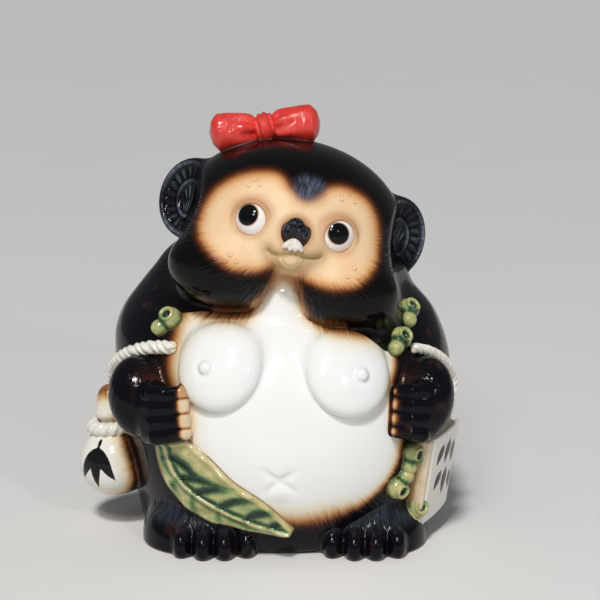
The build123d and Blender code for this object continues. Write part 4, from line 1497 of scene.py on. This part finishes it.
def build_green_finish():
    """Runny green glaze over cream clay: dark where it pools, nearly bare on the ridges."""
    material, b, place = new_finish("green_glaze_finish")
    cloud = b.noise(place, 0.16, 3.0, 0.6, 0.8)
    streak = b.noise(b.painted("flow", True), 0.45, 3.0, 0.6)
    pool = b.plus(b.painted("pool"), b.times(b.minus(cloud, 0.5), 0.55))
    pool = b.plus(pool, b.times(b.minus(streak, 0.5), 0.75))
    colour = b.ramp(pool, green_stops)
    colour = b.mix(b.between(b.painted("edge"), 0.9, -0.2), colour, leaf_foot)
    skin = b.group(glaze_skin, Place=place, Swell=0.12, Pit=0.02)
    height = b.plus(skin["Height"], b.times(streak, 0.10))
    finish_surface(b, colour, height, haze_roughness(b, skin, 0.08, 0.18))
    return material


green_finish = build_green_finish(), "green_glaze"


def leaf_paint(p):
    """The glaze pools beside the rib and the veins, more on the half above the rib, and thins at the edge."""
    edge, rib, vein = leaf_reading(p)
    q = p[:, [0, 2]].astype(np.float32)
    upper = np.zeros(len(p), np.float32)
    nearest = np.full(len(p), 1e9, np.float32)
    for a, b in zip(leaf_rib, leaf_rib[1:]):
        away = (off_segment(q, a, b)[0] ** 2).sum(1)
        (along, rise), w = b - a, q - a.astype(np.float32)
        side = (along * w[:, 1] - rise * w[:, 0]) / np.hypot(along, rise)
        upper = np.where(away < nearest, side, upper)
        nearest = np.minimum(nearest, away)
    above = ease(upper, -1.0, 1.0)
    pool = 0.95 * bell(np.maximum(vein - 0.3, 0), 2.2) * (1 - ease(rib, 7, 16))
    pool = np.maximum(pool, 0.85 * bell(rib - 2.0, 1.3))
    pool = pool * (0.58 + 0.42 * above) + 0.16 * above
    pool = pool + (1 - above) * (0.02 + 0.22 * bell(edge + 2.4, 1.6))
    pool = pool * (1 - 0.9 * bell(rib, 0.9)) * (1 - 0.75 * ease(edge, -3.2, -0.8))
    flow = straight_flow(p, unit((0.78, 0, -0.62)) + 0.4 * np.array([0.62, 0, 0.78]), 0.2)
    return {"pool": pool, "flow": flow, "edge": body_solid(p)}


modelled(
    "leaf_clay", laid_on(leaf_form, body_solid, 1.2, 0.1), ((-66, -88, 6), (8, -38, 64)), 0.55, green_finish,
    ("leaf",), leaf_paint,
)


# Flask, ropes and book.

flask_lean = math.radians(5)
flask_middle = body_seat(-81.5, 0.236, 7.5).origin
flask_seat = Seat(
    flask_middle, (math.cos(flask_lean), 0, math.sin(flask_lean)),
    (-math.sin(flask_lean), 0, math.cos(flask_lean))
)

flask_radius, lip_rise = 18.2, 25.4


def flask_form(p):
    """A round flask with a flat foot, a short neck and a rolled lip."""
    q = flask_seat.local(p)
    x, y, z = q.T
    r = np.hypot(x, y)
    ball = common(np.linalg.norm(q, axis=1) - flask_radius, -z - 16.9, 3.0)
    neck = np.maximum(r - 5.2 - 4.5 * ease(z, 20, 15), np.abs(z - 14) - 11.5)
    return join(join(ball, neck, 3.0), np.hypot(r - 4.5, z - lip_rise) - 3.3, 1.5)


collar_rise, collar_radius = 18.6, 9.6


def collar_form(p):
    """A ring of rope, whose lay runs round it."""
    x, y, z = flask_seat.local(p).T
    out, up = np.hypot(x, y) - collar_radius, z - collar_rise
    lay = 2 * np.arctan2(up, out) - 16 * np.arctan2(y, x)
    return np.hypot(out, up) - 3.2 + 0.30 * np.cos(lay)


def stopper_form(p):
    """The upper half of an oval plug, standing on the lip."""
    q = flask_seat.local(p)
    dome = oval_distance(q, (7.4, 7.4, 13.9), (0, 0, lip_rise))
    return common(dome, lip_rise + 0.6 - q[:, 2], 1.0)


def leaf_stroke(q, root, tip, width):
    """A brushed bamboo leaf in the plane: blunt at its root and drawn out at its tip."""
    way, t = off_segment(q, np.array(root, np.float32), np.array(tip, np.float32))
    return np.linalg.norm(way, axis=1) - width * np.sin(np.pi * np.clip(t, 0.02, 0.99) ** 0.7) ** 0.9


def build_white_finish():
    """White slip under clear glaze, brown where the airbrush passed, with brushed black strokes."""
    material, b, place = new_finish("white_glaze_finish")
    worked = b.group(fur_edge, Edge=b.painted("edge"), Flow=place, Width=3.0, Reach=2.0)
    colour = b.group(slip_shade, Edge=b.math("MINIMUM", worked["Edge"], 3.0))["Color"]
    colour = b.mix(1.0, colour, warm_white, "MULTIPLY")
    wet = b.plus(b.painted("ink"), b.times(b.minus(b.noise(place, 0.9, 3.0), 0.5), 0.7))
    colour = b.mix(b.between(wet, 0.25, -0.2), colour, brushed_black)
    skin = b.group(glaze_skin, Place=place, Swell=0.10, Pit=0.02)
    height = b.plus(skin["Height"], b.times(b.between(wet, 0.4, -0.6), 0.12))
    finish_surface(b, colour, height, haze_roughness(b, skin, 0.08, 0.18), specular=0.22)
    return material


white_finish = build_white_finish(), "white_glaze"
brushed_seat = Seat(flask_seat.origin, (0.86, -0.50, 0), (-0.50, -0.86, 0.06))
brushed_leaves = [
    ((0, 9), (-10, -8.5), 3.0), ((0.5, 9), (0.2, -12), 3.0), ((1, 9), (10.5, -7), 3.0),
    ((0.2, 14), (0.6, 8), 1.0),
]

no_ink = 5.0


def inked(q, strokes):
    """Distance to the nearest of some brush strokes, each given as root, tip and width."""
    return np.minimum.reduce([leaf_stroke(q.astype(np.float32), *stroke) for stroke in strokes])


def flask_paint(p):
    """White, brown near the body and the foot, with leaves brushed on the front as on a ball."""
    q = brushed_seat.local(p)
    away, low = np.maximum(body_solid(p) - 2, 0), -flask_seat.local(p)[:, 2]
    flat = q[:, :2] * (1 + 0.15 * (np.linalg.norm(q[:, :2], axis=1, keepdims=True) / 18) ** 2)
    edge = -15 + 16.0 * np.exp(-away / 8.0) + 6 * ease(low, 6, 17)
    return {"edge": edge, "ink": np.where(q[:, 2] < 4, no_ink, inked(flat, brushed_leaves))}


def brown_near(p, near, far, fade):
    """White that turns brown at the body: the edge's value near and far, and how far it takes to fade."""
    away = np.maximum(body_solid(p), 0)
    return {"edge": far + (near - far) * np.exp(-away / fade), "ink": np.full(len(p), no_ink)}


side_bases = {
    name: lambda p, foot=foot: join(body_solid(p), foot(p), 3.0) for name, foot in foot_fields.items()
}


def flask_base(p):
    """What the collar and the stopper sit on."""
    return np.minimum(body_solid(p), flask_form(p))


def stopper_paint(p):
    """White, brown near the body and on the top of the plug."""
    found = brown_near(p, 1.0, -12.0, 4.0)
    found["edge"] = np.maximum(found["edge"], -9 + 8.5 * ease(flask_seat.local(p)[:, 2], 29, 37))
    return found


modelled(
    "flask_clay", laid_on(flask_form, side_bases["left"], 2.0), (flask_middle - 24, flask_middle + 34), 0.6,
    white_finish, ("flask",), flask_paint,
)
modelled(
    "flask_collar_clay", laid_on(collar_form, flask_base, 0.8),
    around(flask_seat.world((0, 0, collar_rise)), 16), 0.4, white_finish, ("flask_collar",),
    lambda p: brown_near(p, -1.0, -12.0, 3.0),
)
modelled(
    "flask_stopper_clay", laid_on(stopper_form, flask_base, 0.8), around(flask_seat.world((0, 0, 32)), 13),
    0.45, white_finish, ("flask_stopper",), stopper_paint,
)


def rope_form(places, radius, raised, pitch):
    """A laid rope of three strands, pressed along the body."""
    spots = rounded([body_seat(turn, share, raised).origin for turn, share in places], 8, False)
    outward = rounded([unit(body_seat(turn, share).axes[2]) for turn, share in places], 8, False)
    gone = np.concatenate([[0], np.cumsum(np.linalg.norm(np.diff(spots, axis=0), axis=1))])

    def field(p):
        best = np.full(len(p), 1e9, np.float32)
        lay = np.zeros(len(p), np.float32)
        for a, b, s0, s1, n in zip(spots, spots[1:], gone, gone[1:], outward):
            way, t = off_segment(p, a, b)
            far = np.linalg.norm(way, axis=1)
            beside = np.cross(unit(b - a), n)
            turn = np.arctan2(way @ beside.astype(np.float32), way @ n.astype(np.float32))
            nearer = far < best
            best = np.where(nearer, far, best)
            gone_here = s0 + (s1 - s0) * t
            twist = turn * 3 - gone_here * 2 * np.pi / pitch + 0.8 * np.sin(gone_here * 0.55)
            lay = np.where(nearer, twist, lay)
        groove = 0.22 * radius * (0.5 - 0.5 * np.cos(lay)) ** 1.5
        uneven = 0.12 * np.sin(p[:, 0] * 1.7 + p[:, 2] * 0.9) * np.sin(p[:, 2] * 1.3)
        return best - radius + groove + uneven

    return field, spots


# Each rope: its places as turn and share of the height, its radius, how far it is raised, and its pitch.
ropes = {
    "flask_rope": (
        [(-38.5, 0.673), (-47, 0.664), (-57, 0.640), (-67, 0.605), (-79, 0.553), (-85, 0.480), (-82, 0.375)],
        3.5, 1.2, 4.6,
    ),
    "book_rope": (
        [(51, 0.655), (60, 0.630), (69, 0.585), (77, 0.520), (76, 0.450), (70, 0.385)],
        2.7, 1.6, 3.8,
    ),
}
for name, (places, radius, raised, pitch) in ropes.items():
    form, spots = rope_form(places, radius, raised, pitch)
    modelled(
        f"{name}_clay", laid_on(form, body_solid, 0.8), around(spots, radius + 2), 0.45, white_finish,
        (name,), lambda p: brown_near(p, -0.5, -12.0, 1.6),
    )


book_seat = body_seat(63, 0.245, -3.0, 8)


def slab(q, half, corner):
    """A block with rounded edges, from its local coordinates."""
    d = np.abs(q) - (np.asarray(half, q.dtype) - corner)
    return np.linalg.norm(np.maximum(d, 0), axis=1) + np.minimum(d.max(1), 0) - corner


def pages_form(p):
    """A block of leaves: fine lines run round it under the cover."""
    q = book_seat.local(p)
    _, y, z = q.T
    block_of_leaves = slab(q - np.array([-2.0, 0, 4.5], q.dtype), (15.5, 23, 4.7), 2.0)
    return block_of_leaves + 0.16 * np.cos(z * 5.2 + 0.5 * np.sin(y * 0.3)) * (z < 8.6)


def cover_form(p):
    """A thin cover that bends down towards its long sides."""
    x, y, z = book_seat.local(p).T
    return slab(np.stack([x, y, z - 9.9 + 0.9 * (x / 14) ** 2], 1), (14.3, 23.8, 0.95), 0.8)


dabs = [
    ((-4, 17), (-9, 7), 2.7), ((3, 17), (0, 5), 3.1), ((9, 14), (9, 2), 2.7), ((-3, 2), (-8, -7), 2.8),
    ((3, 1), (2, -13), 3.2), ((9.5, -3), (11, -14), 2.5),
]


def cover_paint(p):
    """White, brown near the body, with six plain dabs brushed on the face."""
    q = book_seat.local(p)
    found = brown_near(p, 1.0, -13.0, 3.0)
    found["ink"] = np.where(q[:, 2] > 9.4, inked(q[:, :2], dabs), no_ink)
    return found


book_box = around(book_seat.origin, 30)
modelled(
    "book_pages_clay", laid_on(pages_form, side_bases["right"], 1.0), book_box, 0.5, white_finish,
    ("book_pages",), lambda p: brown_near(p, 1.0, -7.0, 4.0),
)
modelled(
    "book_cover_clay", laid_on(cover_form, side_bases["right"], 0.6), book_box, 0.5, white_finish,
    ("book_cover",), cover_paint,
)


# Gourds.

gourd_seats = [
    body_seat(turn, share, 1.5, roll)
    for turn, share, roll in (
        (-41.5, 0.752, -35.0), (56.5, 0.762, -40.0), (45.5, 0.692, -50.0), (48.0, 0.332, -15.0),
        (42.5, 0.222, 140.0),
    )
]
gourd_seats.append(Seat((64.2, -50.5, 19.0), (0.8, 0.55, 0), (0.55, -0.8, 0.35)).rolled(150))
tie_places = (46.5, 0.30), (47.5, 0.27), (49.5, 0.245), (52, 0.22)
ties = {3: chain([body_seat(turn, share, 1.0).origin for turn, share in tie_places], [2.2, 1.5, 1.4, 1.0])}


def gourd_form(seat, tie):
    """A round bulb, a smaller one behind it, and an open mouth with a rolled rim; one gourd has a tie."""

    def field(p):
        q = seat.local(p)
        x, y, z = q.T
        f = join(oval_distance(q, (5.5, 5.5, 5.0)), oval_distance(q, (3.8, 4.0, 3.8), (0, -6.9, 0)), 1.6)
        f = join(f, np.hypot(np.hypot(x, y) - 3.2, z - 4.2) - 0.8, 0.8)
        f = carve(f, oval_distance(q, (2.1, 2.1, 2.8), (0, 0, 5.2)), 0.8)
        return join(f, tie(p), 1.2) if tie else f

    return field


for number, seat in enumerate(gourd_seats):

    def gourd_paint(p, seat=seat):
        x, y, z = seat.local(p).T
        away = body_solid(p)
        mouth = 0.95 * (1 - ease(np.hypot(x, y), 1.3, 2.5)) * (z > 1)
        seam = 0.65 * np.exp(-np.maximum(away, 0) / 1.2)
        pool = np.maximum.reduce([mouth, 0.62 * bell(y + 4.0, 1.3), seam])
        return {"pool": pool + 0.22, "flow": p, "edge": away * 1.5}

    base = side_bases["left" if number == 0 else "right"]
    modelled(
        f"gourd_clay_{number + 1}", laid_on(gourd_form(seat, ties.get(number)), base, 1.4),
        around(seat.origin, 20), 0.42, green_finish, (f"gourd_{number + 1}",), gourd_paint,
    )


# Floor slab, bare clay.


def build_clay_finish():
    """Coarse clay without glaze."""
    material, b, place = new_finish("bare_clay_finish")
    grog = b.noise(place, 0.9, 5.0, 0.7)
    colour = b.mix(b.between(grog, 0.35, 0.7), light_grog, dark_grog)
    finish_surface(b, colour, b.times(grog, 0.2), 0.85)
    return material


clay_finish = build_clay_finish()
for slot_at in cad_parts["floor_slab"].material_slots:
    slot_at.material = clay_finish


# Camera, floor and lamps.

camera_rise, camera_distance, camera_aim = math.radians(12), 0.9, 0.105
camera_data = bpy.data.cameras.new("camera")
camera_data.sensor_width, camera_data.lens = 36, 106.92
camera_data.shift_x, camera_data.shift_y = 0.025, 0.0225
camera_data.clip_start, camera_data.clip_end = 0.05, 20
camera = bpy.data.objects.new("camera", camera_data)
scene.collection.objects.link(camera)
camera_away, camera_height = camera_distance * math.cos(camera_rise), camera_distance * math.sin(camera_rise)
camera.location = (0, -camera_away, camera_aim + camera_height)
camera.rotation_euler = (math.pi / 2 - camera_rise, 0, 0)
scene.camera = camera


def build_floor():
    """A plain pale table that runs out far behind."""
    mesh = bpy.data.meshes.new("floor")
    mesh.from_pydata([(-40, -6, 0), (40, -6, 0), (40, 90, 0), (-40, 90, 0)], [], [(0, 1, 2, 3)])
    material, b, place = new_finish("floor_finish")
    shader = b.nodes["Principled BSDF"].inputs
    b.feed(shader["Base Color"], b.mix(b.noise(place, 0.009, 3.0), table_grey, table_white))
    shader["Roughness"].default_value = 0.75
    mesh.materials.append(material)
    floor = bpy.data.objects.new("floor", mesh)
    scene.collection.objects.link(floor)


build_floor()


def lamp(name, kind, place, size, power, colour=(1, 1, 1)):
    """A soft lamp that looks at the middle of the figure: size is degrees for a sun, metres for a disk."""
    data = bpy.data.lights.new(name, kind)
    data.energy, data.color = power, colour
    if kind == "SUN":
        data.angle = math.radians(size)
    else:
        data.shape, data.size = "DISK", size
    light = bpy.data.objects.new(name, data)
    scene.collection.objects.link(light)
    light.location = place
    light.rotation_euler = (Vector(place) - Vector((0, 0, 0.1))).to_track_quat("Z", "Y").to_euler()


lamp("daylight", "SUN", (-0.28, -1.4, 2.0), 8, 1.95, (1.0, 0.985, 0.96))
lamp("window", "AREA", (-0.25, -1.0, 0.9), 0.26, 3.2)
lamp("spot", "AREA", (0.50, -1.0, 0.62), 0.07, 1.6, (0.95, 0.97, 1.0))

world = bpy.data.worlds.new("room")
world.use_nodes = True
background = world.node_tree.nodes["Background"].inputs
background["Color"].default_value = (0.93, 0.95, 1.0, 1)
background["Strength"].default_value = 0.17
scene.world = world
scene.view_settings.view_transform = "Standard"
